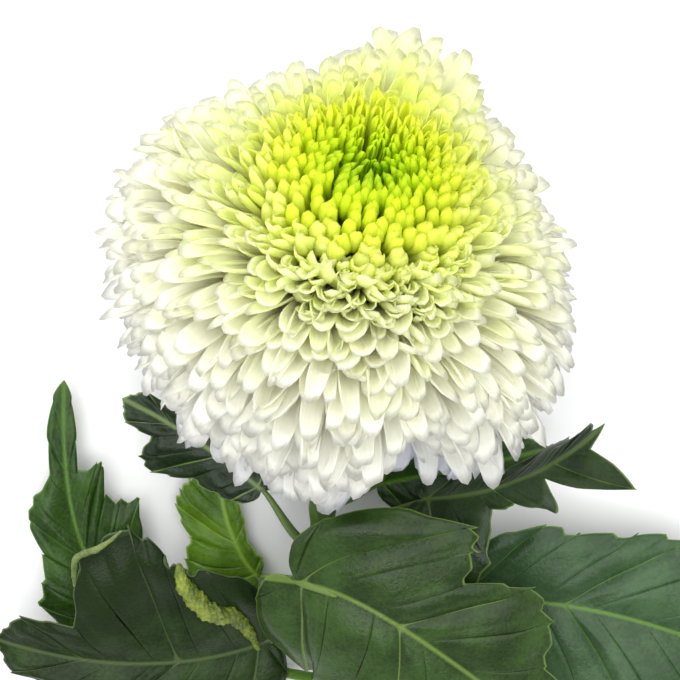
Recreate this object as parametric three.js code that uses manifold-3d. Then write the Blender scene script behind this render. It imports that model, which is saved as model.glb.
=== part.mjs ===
// One cut pompon chrysanthemum laid down on a table: a bent stalk, the green cup under the
// head, the dense head of ray florets and eight lobed leaves. Millimetres, +Z up.
// The stalk runs along -Y from the head; the head rests on its pressed lowest florets.

import * as THREE from 'three';
import { mergeVertices } from 'three/addons/utils/BufferGeometryUtils.js';
import Module from 'manifold-3d';

const wasm = await Module();
wasm.setup();

// ---------------------------------------------------------------- driving dimensions

const HEAD_CENTRE = new THREE.Vector3(-2.5, 0, 54);
const HEAD_AXIS = new THREE.Vector3(0.162, 0.789, 0.592).normalize();
const HEAD_FRONT = new THREE.Vector3(0.138, -0.612, 0.778);

const HEAD_RADIUS = 59;
const HEAD_RISE = 47;
const HEAD_BACK = 52;
const EYE_DISH = { depth: 5, spread: 11 };
// Where the head stands out of its rounded outline, a tuft above the eye and a fuller left side,
// and where it draws in: low on the left, in a notch low on the right, and at both sides.
const BULGES = [
  { height: 16, azimuth: 154, azimuthSpread: 24, polar: 62, polarSpread: 20 },
  { height: 3.5, azimuth: 262, azimuthSpread: 35, polar: 80, polarSpread: 30 },
  { height: -7, azimuth: 300, azimuthSpread: 32, polar: 120, polarSpread: 28 },
  { height: -13, azimuth: 30, azimuthSpread: 14, polar: 126, polarSpread: 26 },
  { height: -3, azimuth: 90, azimuthSpread: 30, polar: 95, polarSpread: 30 },
  { height: -3, azimuth: 268, azimuthSpread: 26, polar: 100, polarSpread: 26 },
];

const CORE_RADIUS = 42;
const CORE_RISE = 33;
const CORE_BACK = 27;
const CUP_SEAT = 24;
const CORE_SEGMENTS = 12;

const FLORET_COUNT = 200;
const FLORET_LAST_POLAR = 148;
const FLORET_WIDTH = 13.8;
const FLORET_SMALLEST = 4.2;
const FLORET_THICKNESS = 1.7;
const FLORET_STEPS = 4;
const FLORET_ROOT_SHARE = 0.45;
const FLORET_TIP_SHARE = 0.68;
const FLORET_TIP_ROUNDING = 0.11;
const FLORET_TIP_THINNING = 0.4;
// How far each floret strays from the rule: degrees, degrees, millimetres, degrees.
const STRAY = { polar: 1.2, azimuth: 3, reach: 1.2, lean: 5 };
const GOLDEN_ANGLE = Math.PI * (3 - Math.sqrt(5));

// The middle of the flower's box on the table, which is the part's origin.
const TABLE_ORIGIN = new THREE.Vector3(10.5, -70.2, 0);
const TOUCH_GAP = 0.3;
const SHORTEST_EDGE = 0.1;
const CALYX_RADIUS = 15;
const CALYX_LENGTH = 14;
const BRACT_ROWS = 3;
const BRACTS_IN_ROW = 7;
const BRACT = {
  firstRow: 2.2, rowStep: 3.1, length: 3.4, halfWidth: 2.1, taper: 0.45, thickness: 0.75, flare: 0.25,
};
// How fast the cup draws in below its rim, per square millimetre of depth.
const CUP_DRAW_IN = 0.088;

const STEM_RADIUS = 3.4;
const STEM_NECK_RADIUS = 2.9;
const STEM_SIDES = 10;
const STEM_STEPS = 26;
const JOINT_SWELLING = 0.6;
const JOINT_REACH = 3;
// The stalk's middle line from under the bent neck to the cut end.
const STEM_ROUTE = [[-8, -54, 20.5], [-8, -76, 16.5], [-7.5, -105, 13], [-6.5, -140, 9.3], [-5, -176, 5.5],
  [-4.2, -200, 3.42]];

const BLADE_THICKNESS = 0.9;
const BLADE_ROWS = 20;
const BLADE_COLUMNS = 2;
const PETIOLE_RADIUS = 1.5;
const PETIOLE_SIDES = 5;
const PETIOLE_STEPS = 8;
// The leaf stalk runs on under the blade as its midrib, through these shares of its length.
const MIDRIB_STATIONS = [0, 0.25, 0.5, 0.78];
const MIDRIB_DEPTH = 0.5;
const MIDRIB_RADIUS = 0.6;
const TABLE_CLEARANCE = 0.6;
// Waves of the margin from foot to tip, the half width at which fold and droop are measured
// as a share of the length, and where the two halves start to draw together at the tip.
const MARGIN_WAVES = 9;
const HALF_SPREAD = 0.4;
const TIP_STARTS = 0.8;

// Rows of keys: polar angle of the floret in degrees, then the value there.
const FLORET_LENGTH = [[0, 14], [25, 18], [50, 24], [85, 28], [132, 29], [148, 32]];
const FLORET_TIP_LEAN = [[0, -62], [22, -52], [40, -20], [60, 14], [95, 38], [132, 48], [148, 42]];
const FLORET_ROOT_LEAN = [[0, -4], [40, -6], [85, -14], [148, -16]];
const FLORET_CUP = [[0, 0.9], [30, 0.8], [60, 0.5], [148, 0.34]];

// The flat half outline of a leaf: origin on the midrib, angle of the side vein there and
// the vein's reach, as shares of the blade's length, from the leaf's foot to its tip.
const LEAF_OUTLINE = [
  { at: 0.0, origin: 0.0, angle: 150, reach: 0.05 },
  { at: 0.08, origin: 0.0, angle: 112, reach: 0.2 },
  { at: 0.2, origin: 0.02, angle: 74, reach: 0.46 },
  { at: 0.3, origin: 0.1, angle: 60, reach: 0.42 },
  { at: 0.4, origin: 0.24, angle: 55, reach: 0.2 },
  { at: 0.52, origin: 0.32, angle: 44, reach: 0.47 },
  { at: 0.62, origin: 0.4, angle: 38, reach: 0.45 },
  { at: 0.72, origin: 0.56, angle: 36, reach: 0.2 },
  { at: 0.84, origin: 0.66, angle: 25, reach: 0.3 },
  { at: 0.92, origin: 0.78, angle: 14, reach: 0.2 },
  { at: 1.0, origin: 0.9, angle: 0, reach: 0.1 },
];
// Where round the half outline its three lobes point, and which keys are the notches after them.
const LOBES = [0.2, 0.52, 0.84];
const NOTCH_KEYS = [4, 7, 9];
const TOOTH_DEPTH = 0.07;

// Each leaf: the foot on the stalk, the blade's midrib as four Bezier points, the way the
// blade faces at foot and tip, and for each half the width and sweep of its three lobes, the
// reach of the notches after them, and its fold, droop and wave.
const LEAVES = [
  {
    name: 'leaf_front',
    colour: 0x2f5a2c,
    station: -88,
    bend: [[-12.5, -87, 24]],
    midrib: [[-15, -85, 36], [3, -84, 45], [26, -104, 44], [60, -138, 22]],
    faces: [[-0.1, -0.15, 1], [0.35, -0.35, 0.9]],
    left: {
      width: [1.06, 0.86, 0.9],
      sweep: [0.66, 1.17, 1.1],
      notch: [0.28, 0.28, 0.2],
      fold: 0,
      droop: 20,
      wave: 2,
      phase: 0.4,
    },
    right: {
      width: [0.8, 1, 1],
      sweep: [1.38, 1.15, 1.1],
      notch: [0.34, 0.32, 0.2],
      fold: -2,
      droop: 20,
      wave: 2.5,
      phase: 2.4,
    },
  },
  {
    name: 'leaf_left_low',
    colour: 0x25461f,
    station: -108,
    bend: [[-16, -109.5, 11.5]],
    midrib: [[-25, -112, 11], [-45, -117, 19], [-71, -116, 24], [-101, -108, 18]],
    faces: [[0.1, -0.3, 1], [-0.1, -0.3, 1]],
    left: {
      width: [0.9, 1, 1],
      sweep: [1, 1, 1],
      notch: [0.2, 0.2, 0.2],
      fold: 8,
      droop: 14,
      wave: 2,
      phase: 1.2,
    },
    right: {
      width: [1.1, 1.48, 1],
      sweep: [0.88, 1.62, 1.25],
      notch: [0.4, 0.2, 0.2],
      fold: 4,
      droop: -6,
      wave: 2.5,
      phase: 0.6,
    },
  },
  {
    name: 'leaf_left_tall',
    colour: 0x3c6a2a,
    station: -124,
    bend: [[-22, -124, 3], [-42, -120, 2.2]],
    midrib: [[-60, -108, 4], [-78, -98, 6], [-83, -70, 8], [-80.5, -35.5, 7]],
    faces: [[0.1, 0, 1], [0.1, 0.1, 1]],
    left: {
      width: [0.75, 0.56, 0.42],
      sweep: [0.6, 0.9, 1],
      notch: [0.34, 0.24, 0.2],
      fold: 4,
      droop: 8,
      wave: 2,
      phase: 0.2,
    },
    right: {
      width: [1.25, 0.88, 0.4],
      sweep: [0.36, 0.44, 0.8],
      notch: [0.34, 0.2, 0.2],
      fold: 6,
      droop: 8,
      wave: 2.5,
      phase: 1.9,
    },
  },
  {
    name: 'leaf_back_left',
    colour: 0x2c5228,
    station: -84,
    bend: [[-15, -78, 19]],
    midrib: [[-25, -63, 22], [-36, -54, 20], [-48, -46, 17], [-63, -38, 19]],
    faces: [[0.1, -0.1, 1], [0.3, -0.1, 1]],
    left: {
      width: [0.45, 1.05, 1],
      sweep: [0.9, 1.15, 1],
      notch: [0.34, 0.22, 0.2],
      fold: -4,
      droop: 20,
      wave: 2,
      phase: 0,
    },
    right: {
      width: [0.85, 0.85, 0.85],
      sweep: [1, 1, 1],
      notch: [0.2, 0.2, 0.2],
      fold: 0,
      droop: 10,
      wave: 2,
      phase: 1.1,
    },
  },
  {
    name: 'leaf_back_low',
    colour: 0x4c8030,
    station: -97,
    bend: [[-17, -95, 6]],
    midrib: [[-27, -94, 5], [-33, -88, 5], [-37, -76, 5], [-38, -60, 4.5]],
    faces: [[0, 0, 1], [0, 0, 1]],
    left: {
      width: [1.2, 1.2, 1.2],
      sweep: [1, 1, 1],
      notch: [0.34, 0.34, 0.2],
      fold: 2,
      droop: 5,
      wave: 1,
      phase: 0,
    },
    right: {
      width: [0.35, 0.4, 0.7],
      sweep: [0.8, 1, 1],
      notch: [0.34, 0.34, 0.2],
      fold: 2,
      droop: 5,
      wave: 1,
      phase: 1.1,
    },
  },
  {
    name: 'leaf_right_narrow',
    colour: 0x3d6430,
    station: -80,
    bend: [[4, -74, 17]],
    midrib: [[20, -66, 22], [36, -64, 26], [52, -56, 38], [65, -36, 54]],
    faces: [[-0.3, 0.8, 0.5], [-0.55, 0.55, 0.5]],
    left: {
      width: [0.6, 0.7, 0.8],
      sweep: [0.9, 1, 1],
      notch: [0.24, 0.24, 0.14],
      fold: -22,
      droop: 6,
      wave: 1,
      phase: 0,
    },
    right: {
      width: [1, 0.25, 1.4],
      sweep: [1.1, 1, 1.85],
      notch: [0.2, 0.05, 0.08],
      fold: -35,
      droop: 10,
      wave: 2,
      phase: 2,
    },
  },
  {
    name: 'leaf_right_big',
    colour: 0x41684a,
    station: -114,
    bend: [[8, -108, 9]],
    midrib: [[30, -100, 10], [60, -96, 14], [90, -104, 16], [122, -122, 9]],
    faces: [[0, 0, 1], [0.1, -0.1, 1]],
    left: {
      width: [0.75, 0.9, 0.85],
      sweep: [0.64, 1, 1],
      notch: [0.42, 0.4, 0.2],
      fold: 6,
      droop: 14,
      wave: 2.5,
      phase: 0.9,
    },
    right: {
      width: [0.9, 0.9, 0.9],
      sweep: [1, 1, 1],
      notch: [0.4, 0.34, 0.2],
      fold: 4,
      droop: 12,
      wave: 2.5,
      phase: 2.2,
    },
  },
  {
    name: 'leaf_back_right',
    colour: 0x34591f,
    station: -70,
    bend: [[0, -69, 10]],
    midrib: [[8, -66, 7], [22, -63, 7], [38, -60, 9], [56, -54, 12]],
    faces: [[0, 0, 1], [-0.1, 0.1, 1]],
    left: {
      width: [0.6, 0.6, 0.8],
      sweep: [0.8, 1, 1],
      notch: [0.26, 0.26, 0.2],
      fold: 2,
      droop: 6,
      wave: 1.5,
      phase: 0.3,
    },
    right: {
      width: [0.5, 0.6, 0.8],
      sweep: [0.8, 1, 1],
      notch: [0.26, 0.26, 0.2],
      fold: 4,
      droop: 8,
      wave: 1.5,
      phase: 1.7,
    },
  },
];

// ---------------------------------------------------------------- small helpers

const radians = THREE.MathUtils.degToRad;
const smooth = (x) => x * x * (3 - 2 * x);
const fraction = (x) => x - Math.floor(x);
const toVector = (list) => new THREE.Vector3(...list);

/** A repeatable draw between -1 and 1 for item `index`, one series for each `step`. */
function draw(index, step) {
  return 2 * fraction((index + 1) * step) - 1;
}

/** Reads a list of [place, value] keys at `place`, in straight steps between them. */
function readKeys(keys, place) {
  const next = keys.findIndex(([at]) => at >= place);
  if (next <= 0) return keys[next === 0 ? 0 : keys.length - 1][1];
  const [from, a] = keys[next - 1];
  const [to, b] = keys[next];
  return THREE.MathUtils.lerp(a, b, (place - from) / (to - from));
}

/** Moves every vertex of a geometry by `place(x, y, z)`, which gives a Vector3. */
function reshape(geometry, place) {
  const position = geometry.getAttribute('position');
  for (let i = 0; i < position.count; i += 1) {
    const p = place(position.getX(i), position.getY(i), position.getZ(i));
    position.setXYZ(i, p.x, p.y, p.z);
  }
  return geometry;
}

/** A solid for joining and cutting, from a closed geometry. */
function toSolid(geometry) {
  geometry.deleteAttribute('normal');
  geometry.deleteAttribute('uv');
  const merged = mergeVertices(geometry, 1e-5);
  return new wasm.Manifold(new wasm.Mesh({
    numProp: 3,
    vertProperties: new Float32Array(merged.getAttribute('position').array),
    triVerts: new Uint32Array(merged.index.array),
  }));
}

/**
 * Moves corners that share a place but belong to two sheets apart, each into its own side,
 * because a seam of no thickness isn't a closed body.
 */
function partTouchingCorners(geometry) {
  const position = geometry.getAttribute('position');
  const normal = geometry.getAttribute('normal');
  const atPlace = new Map();
  for (let i = 0; i < position.count; i += 1) {
    const key = [position.getX(i), position.getY(i), position.getZ(i)].map((x) => x.toFixed(2)).join();
    atPlace.set(key, [...(atPlace.get(key) ?? []), i]);
  }
  for (const corners of atPlace.values()) {
    for (const [order, i] of corners.length > 1 ? corners.entries() : []) {
      const moved = new THREE.Vector3().fromBufferAttribute(position, i)
        .addScaledVector(new THREE.Vector3().fromBufferAttribute(normal, i), -SHORTEST_EDGE * (order + 1));
      position.setXYZ(i, moved.x, moved.y, moved.z);
    }
  }
  return geometry;
}

/** Puts the largest triangles first, so that what reads the solid starts from a sound facet. */
function largestFirst(places, order) {
  const corner = (i) => new THREE.Vector3().fromArray(places, 3 * i);
  const triangles = [];
  for (let i = 0; i < order.length; i += 3) {
    const corners = [...order.slice(i, i + 3)];
    triangles.push({ corners, area: new THREE.Triangle(...corners.map(corner)).getArea() });
  }
  return triangles.sort((a, b) => b.area - a.area).flatMap(({ corners }) => corners);
}

/** The geometry of a solid, with flat faces, its loose scraps left out. */
function toGeometry(solid) {
  const clean = solid.simplify(SHORTEST_EDGE);
  const largest = clean.decompose().reduce((a, b) => (a.volume() > b.volume() ? a : b));
  const { vertProperties, triVerts } = largest.getMesh();
  const geometry = new THREE.BufferGeometry();
  geometry.setAttribute('position', new THREE.BufferAttribute(vertProperties, 3));
  geometry.setIndex(largestFirst(vertProperties, triVerts));
  geometry.computeVertexNormals();
  return partTouchingCorners(geometry);
}

/** A closed tube along a curve, its radius read at each share of the length. */
function tube(curve, radiusAt, sides, steps) {
  const frames = curve.computeFrenetFrames(steps, false);
  return reshape(new THREE.CylinderGeometry(1, 1, 1, sides, steps), (x, y, z) => {
    const step = Math.round((y + 0.5) * steps);
    const share = step / steps;
    return curve.getPointAt(share)
      .addScaledVector(frames.normals[step], x * radiusAt(share))
      .addScaledVector(frames.binormals[step], -z * radiusAt(share));
  });
}

// ---------------------------------------------------------------- the head's own frame

const HEAD_SIDE = new THREE.Vector3().crossVectors(HEAD_AXIS, HEAD_FRONT).normalize();
const HEAD_DOWN = new THREE.Vector3().crossVectors(HEAD_SIDE, HEAD_AXIS);

/** Puts a point of the head's frame (front, side, axis) in its place on the table. */
function fromHead(p) {
  return HEAD_CENTRE.clone()
    .addScaledVector(HEAD_DOWN, p.x)
    .addScaledVector(HEAD_SIDE, p.y)
    .addScaledVector(HEAD_AXIS, p.z);
}

/** How far the head's fuller places stand out of its rounded outline, in a direction. */
function bulgeAt(polar, azimuth) {
  return BULGES.reduce((sum, bulge) => {
    const turn = (((azimuth - bulge.azimuth + 540) % 360) - 180) / bulge.azimuthSpread;
    const tilt = (polar - bulge.polar) / bulge.polarSpread;
    return sum + bulge.height * Math.exp(-turn * turn - tilt * tilt);
  }, 0);
}

/** How far the floret tips lie from the head's centre, in a direction. */
function envelope(polar, azimuth) {
  const rise = polar < 90 ? HEAD_RISE : HEAD_BACK;
  const across = Math.sin(radians(polar)) / HEAD_RADIUS;
  const along = Math.cos(radians(polar)) / rise;
  const dish = EYE_DISH.depth * Math.exp(-((polar / EYE_DISH.spread) ** 2));
  return 1 / Math.hypot(across, along) - dish + bulgeAt(polar, azimuth);
}

// ---------------------------------------------------------------- bloom

/** One ray floret, by its number counted out from the eye. */
function floret(index) {
  const polar = FLORET_LAST_POLAR * ((index + 0.5) / FLORET_COUNT) + STRAY.polar * draw(index, 0.7548776662);
  const azimuth = ((index * GOLDEN_ANGLE * 180) / Math.PI + STRAY.azimuth * draw(index, 0.41421356)) % 360;
  const reach = envelope(polar, azimuth) + STRAY.reach * draw(index, 0.7320508);
  const length = readKeys(FLORET_LENGTH, polar) + bulgeAt(polar, azimuth);
  const tipLean = radians(readKeys(FLORET_TIP_LEAN, polar) + STRAY.lean * draw(index, 0.6457513));
  const rootLean = radians(readKeys(FLORET_ROOT_LEAN, polar));
  const cup = readKeys(FLORET_CUP, polar);
  const halfWidth = 0.5 * Math.max(FLORET_SMALLEST, FLORET_WIDTH * Math.sqrt(Math.sin(radians(polar))));

  const a = radians(azimuth);
  const p = radians(polar);
  const out = new THREE.Vector3(Math.sin(p) * Math.cos(a), Math.sin(p) * Math.sin(a), Math.cos(p));
  const back = new THREE.Vector3(Math.cos(p) * Math.cos(a), Math.cos(p) * Math.sin(a), -Math.sin(p));
  const across = new THREE.Vector3().crossVectors(back, out);
  const tip = out.clone().multiplyScalar(reach);
  const turn = tipLean - rootLean;

  return reshape(new THREE.CylinderGeometry(1, 1, 1, 4, FLORET_STEPS), (u, y, w) => {
    const along = y + 0.5;
    const rounded = along - FLORET_TIP_ROUNDING * u * u * along ** 3;
    const lean = rootLean + turn * rounded;
    const swelling = Math.sin(Math.PI * Math.min(0.5, 0.75 * along));
    const width = halfWidth * THREE.MathUtils.lerp(FLORET_ROOT_SHARE, 1, swelling)
      * (along === 1 ? FLORET_TIP_SHARE : 1);
    const inward = cup * width * u * u + w * 0.5 * FLORET_THICKNESS * (1 - FLORET_TIP_THINNING * along);
    return fromHead(tip.clone()
      .addScaledVector(out, (-length * (Math.sin(tipLean) - Math.sin(lean))) / turn)
      .addScaledVector(back, (length * (Math.cos(tipLean) - Math.cos(lean))) / turn)
      .addScaledVector(across, u * width)
      .addScaledVector(out, Math.sin(lean) * inward)
      .addScaledVector(back, -Math.cos(lean) * inward));
  });
}

/** The dense middle of the head, which the florets stand out of, flat where the cup sits. */
function core() {
  return reshape(new THREE.SphereGeometry(1, CORE_SEGMENTS, CORE_SEGMENTS / 2), (x, y, z) => {
    const along = y > 0 ? y * CORE_RISE : Math.max(y * CORE_BACK, -CUP_SEAT);
    return fromHead(new THREE.Vector3(x * CORE_RADIUS, -z * CORE_RADIUS, along));
  });
}

/** The head, with its lowest florets pressed flat against the table. */
function bloom() {
  const florets = Array.from({ length: FLORET_COUNT }, (_, index) => toSolid(floret(index)));
  return wasm.Manifold.union([toSolid(core()), ...florets]).trimByPlane([0, 0, 1], 0);
}

// ---------------------------------------------------------------- calyx and stalk

const CUP_TOP = -CUP_SEAT - TOUCH_GAP;

/** Where the cup's side runs: its radius and its distance below its top, rim to neck. */
const CUP_PROFILE = [[0, 0], [CALYX_RADIUS - 1, 0], [CALYX_RADIUS, 1.6], [CALYX_RADIUS - 1.5, 5],
  [9.5, 9], [5.2, 12.4], [STEM_NECK_RADIUS + 0.5, CALYX_LENGTH], [0, CALYX_LENGTH]];

/** One bract of the cup: a pointed scale lying along its side. */
function bract(row, index) {
  const turn = ((index + 0.5 * (row % 2)) / BRACTS_IN_ROW) * 2 * Math.PI;
  const down = BRACT.firstRow + BRACT.rowStep * row;
  const radius = CALYX_RADIUS - TOUCH_GAP - CUP_DRAW_IN * down * down;
  return reshape(new THREE.SphereGeometry(1, 5, 3), (x, y, z) => {
    const along = BRACT.length * y;
    const r = radius + BRACT.thickness * z + BRACT.flare * along;
    const a = turn + (BRACT.halfWidth * x * (1 - BRACT.taper * y)) / radius;
    return fromHead(new THREE.Vector3(r * Math.cos(a), r * Math.sin(a), CUP_TOP - down + along));
  });
}

/** The green cup under the head, with its overlapping bracts. */
function calyx() {
  const profile = CUP_PROFILE.map(([radius, down]) => new THREE.Vector2(radius, -down));
  const cup = reshape(new THREE.LatheGeometry(profile.reverse(), 14), (x, y, z) => (
    fromHead(new THREE.Vector3(x, -z, y + CUP_TOP))));
  const bracts = [];
  for (let row = 0; row < BRACT_ROWS; row += 1) {
    for (let index = 0; index < BRACTS_IN_ROW; index += 1) bracts.push(toSolid(bract(row, index)));
  }
  const rim = fromHead(new THREE.Vector3(0, 0, CUP_TOP)).dot(HEAD_AXIS);
  const downwards = HEAD_AXIS.clone().negate().toArray();
  return wasm.Manifold.union([toSolid(cup), ...bracts]).trimByPlane(downwards, -rim);
}

const STEM_TOP = fromHead(new THREE.Vector3(0, 0, CUP_TOP - CALYX_LENGTH - TOUCH_GAP));
const STEM_CURVE = new THREE.CatmullRomCurve3([
  STEM_TOP,
  STEM_TOP.clone().addScaledVector(HEAD_AXIS, -9),
  ...STEM_ROUTE.map(toVector),
]);

/** The stalk's radius, swollen where each leaf springs from it. */
function stemRadius(share) {
  const { y } = STEM_CURVE.getPointAt(share);
  const swelling = LEAVES.reduce((sum, { station }) => (
    sum + JOINT_SWELLING * Math.exp(-(((y - station) / JOINT_REACH) ** 2))), 0);
  return THREE.MathUtils.lerp(STEM_NECK_RADIUS, STEM_RADIUS, smooth(Math.min(1, 3 * share)))
    + Math.min(JOINT_SWELLING, swelling);
}

/** The stalk, thicker all round by `more`. */
function stem(more = 0) {
  return toSolid(tube(STEM_CURVE, (share) => stemRadius(share) + more, STEM_SIDES, STEM_STEPS));
}

/** The point of the stalk's middle line at a distance along -Y. */
function stemAt(station) {
  const samples = STEM_CURVE.getPoints(400);
  return samples.reduce((a, b) => (Math.abs(a.y - station) < Math.abs(b.y - station) ? a : b));
}

// ---------------------------------------------------------------- leaves

/** The outline's key number `index`, with the half's own reach where that is a notch. */
function outlineKey(half, index) {
  const notch = NOTCH_KEYS.indexOf(index);
  return notch < 0 ? LEAF_OUTLINE[index] : { ...LEAF_OUTLINE[index], reach: half.notch[notch] };
}

/** A half's value for each of its three lobes, read at a share of the way round its outline. */
const betweenLobes = (values, at) => readKeys(LOBES.map((lobe, index) => [lobe, values[index]]), at);

/** The half outline at a share of the way round it, eased between its keys. */
function outlineAt(half, at) {
  const next = Math.max(1, LEAF_OUTLINE.findIndex((key) => key.at >= at - 1e-9));
  const from = outlineKey(half, next - 1);
  const to = outlineKey(half, next);
  const share = smooth((at - from.at) / (to.at - from.at));
  const mix = (field) => THREE.MathUtils.lerp(from[field], to[field], share);
  return { origin: mix('origin'), angle: radians(mix('angle')), reach: mix('reach') };
}

/** The blade's middle line and the way it faces, at a share of its length. */
function midribFrame(leaf, share) {
  const curve = new THREE.CubicBezierCurve3(...leaf.midrib.map(toVector));
  const inside = THREE.MathUtils.clamp(share, 0, 1);
  const tangent = curve.getTangentAt(inside);
  const point = curve.getPointAt(inside).addScaledVector(tangent, (share - inside) * curve.getLength());
  const facing = toVector(leaf.faces[0]).lerp(toVector(leaf.faces[1]), inside);
  const left = new THREE.Vector3().crossVectors(facing, tangent).normalize();
  return { point, left, up: new THREE.Vector3().crossVectors(tangent, left), length: curve.getLength() };
}

/** A corner of the blade: `side` 1 is left, `v` runs from midrib to margin, `face` is 1 on top. */
function bladeCorner(leaf, side, row, column, face) {
  const half = side > 0 ? leaf.left : leaf.right;
  const at = row / BLADE_ROWS;
  const v = column / BLADE_COLUMNS;
  const { origin, angle, reach } = outlineAt(half, at);
  const nearTip = smooth(THREE.MathUtils.clamp((at - TIP_STARTS) / (1 - TIP_STARTS), 0, 1));
  const width = THREE.MathUtils.lerp(betweenLobes(half.width, at), 1, nearTip);
  const toothed = reach * width * (row % 2 ? 1 - TOOTH_DEPTH : 1);
  const { length } = midribFrame(leaf, 0);
  const swept = angle * betweenLobes(half.sweep, at);
  const out = v * toothed * Math.sin(swept) * length;
  const { point, left, up } = midribFrame(leaf, origin + v * toothed * Math.cos(swept));
  const spread = out / (HALF_SPREAD * length);
  const tilt = radians(half.fold) - radians(half.droop) * spread;
  const halfTilt = radians(half.fold) - 0.5 * radians(half.droop) * spread;
  const wave = half.wave * spread * Math.sin(MARGIN_WAVES * at + half.phase);
  const middle = point
    .addScaledVector(left, side * out * Math.cos(halfTilt))
    .addScaledVector(up, out * Math.sin(halfTilt) + wave);
  middle.z = Math.max(middle.z, TABLE_CLEARANCE);
  const facing = out > 0.01 ? tilt : 0;
  return middle
    .addScaledVector(up, 0.5 * BLADE_THICKNESS * face * Math.cos(facing))
    .addScaledVector(left, -0.5 * BLADE_THICKNESS * face * side * Math.sin(facing));
}

/** The closed blade: two faces split into triangles alike, joined round the margin. */
function blade(leaf) {
  const places = [];
  const quad = (a, b, c, d) => places.push(a, b, c, a, c, d);
  for (const side of [1, -1]) {
    const corner = (row, column, face) => bladeCorner(leaf, side, row, column, face);
    for (let row = 0; row < BLADE_ROWS; row += 1) {
      for (let column = 0; column < BLADE_COLUMNS; column += 1) {
        for (const face of [1, -1]) {
          const corners = [corner(row, column, face), corner(row + 1, column, face),
            corner(row + 1, column + 1, face), corner(row, column + 1, face)];
          if (side * face > 0) quad(...corners);
          else places.push(corners[0], corners[2], corners[1], corners[0], corners[3], corners[2]);
        }
      }
      const rim = [corner(row, BLADE_COLUMNS, 1), corner(row, BLADE_COLUMNS, -1),
        corner(row + 1, BLADE_COLUMNS, -1), corner(row + 1, BLADE_COLUMNS, 1)];
      quad(...(side > 0 ? rim.reverse() : rim));
    }
    for (let column = 0; column < BLADE_COLUMNS; column += 1) {
      const foot = [corner(0, column, 1), corner(0, column, -1),
        corner(0, column + 1, -1), corner(0, column + 1, 1)];
      quad(...(side > 0 ? foot.reverse() : foot));
    }
  }
  return withoutSlivers(places);
}

/** An indexed geometry from corner triples, with those that collapse to a line left out. */
function withoutSlivers(places) {
  const loose = new THREE.BufferGeometry().setFromPoints(places);
  const merged = mergeVertices(loose, 1e-4);
  const order = merged.index ? [...merged.index.array] : places.map((_, i) => i);
  const kept = [];
  for (let i = 0; i < order.length; i += 3) {
    const [a, b, c] = order.slice(i, i + 3);
    if (a !== b && b !== c && a !== c) kept.push(a, b, c);
  }
  merged.setIndex(kept);
  return merged;
}

/** The leaf stalk, which runs on under the blade as its midrib. */
function petiole(leaf) {
  const onBlade = MIDRIB_STATIONS.map((share) => {
    const { point, up } = midribFrame(leaf, share);
    return point.addScaledVector(up, -MIDRIB_DEPTH);
  });
  onBlade.forEach((point) => point.setZ(Math.max(point.z, PETIOLE_RADIUS)));
  const curve = new THREE.CatmullRomCurve3([stemAt(leaf.station), ...leaf.bend.map(toVector), ...onBlade]);
  const radiusAt = (share) => THREE.MathUtils.lerp(PETIOLE_RADIUS, MIDRIB_RADIUS, share);
  return tube(curve, radiusAt, PETIOLE_SIDES, PETIOLE_STEPS);
}

/** A whole leaf, cut to sit 0.3 mm off the stalk. */
function leafSolid(leaf, stalk) {
  return toSolid(blade(leaf)).add(toSolid(petiole(leaf))).subtract(stalk);
}

// ---------------------------------------------------------------- the group

const flower = new THREE.Group();
flower.name = 'pompon_chrysanthemum';
flower.position.copy(TABLE_ORIGIN).negate();

function addPiece(name, solid, colour, roughness) {
  const material = new THREE.MeshStandardMaterial({ color: colour, roughness, metalness: 0 });
  const mesh = new THREE.Mesh(toGeometry(solid), material);
  mesh.name = name;
  flower.add(mesh);
}

addPiece('bloom', bloom(), 0xeef0d2, 0.6);
addPiece('calyx', calyx(), 0x5d7f35, 0.6);
addPiece('stem', stem(), 0x4d6b22, 0.5);
const clearedStalk = stem(TOUCH_GAP);
LEAVES.forEach((leaf) => addPiece(leaf.name, leafSolid(leaf, clearedStalk), leaf.colour, 0.4));

export default flower;
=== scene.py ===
"""A cut pompon chrysanthemum lying on a pale table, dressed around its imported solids.

The head is made of ray florets that a node tree bends out of one strap each, by a rule
that runs from the green eye to the hanging outer florets. The green cup is made of scales
from the same tree. Eight lobed leaves, two rolled margins and the ribbed stalk are swept
meshes. Sizes in the classes are millimetres on the part's own drawing frame, and angles are
degrees; a mesh is written in metres.
"""

import logging
import math
from dataclasses import dataclass, field
from enum import Enum
from typing import Callable, Optional, Sequence, Union

import bmesh
import bpy
import numpy as np
from bpy.types import ID, Material, Mesh, Node, NodeSocket, NodeTree, Object
from mathutils import Matrix, Vector


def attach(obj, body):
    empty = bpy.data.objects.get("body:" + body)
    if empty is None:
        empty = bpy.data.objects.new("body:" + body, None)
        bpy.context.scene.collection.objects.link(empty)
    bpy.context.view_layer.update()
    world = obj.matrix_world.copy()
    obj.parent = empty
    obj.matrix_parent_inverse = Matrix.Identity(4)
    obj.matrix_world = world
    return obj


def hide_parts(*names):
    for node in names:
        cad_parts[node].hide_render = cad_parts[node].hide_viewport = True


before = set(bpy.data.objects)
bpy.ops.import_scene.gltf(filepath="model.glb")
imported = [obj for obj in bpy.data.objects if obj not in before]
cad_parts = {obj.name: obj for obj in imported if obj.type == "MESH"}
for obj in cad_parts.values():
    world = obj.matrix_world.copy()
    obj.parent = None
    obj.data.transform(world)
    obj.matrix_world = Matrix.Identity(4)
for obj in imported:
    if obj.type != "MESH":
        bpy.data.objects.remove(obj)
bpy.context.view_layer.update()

LOG = logging.getLogger("chrysanthemum")
ROOT = "root"
METRE = 0.001
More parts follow.
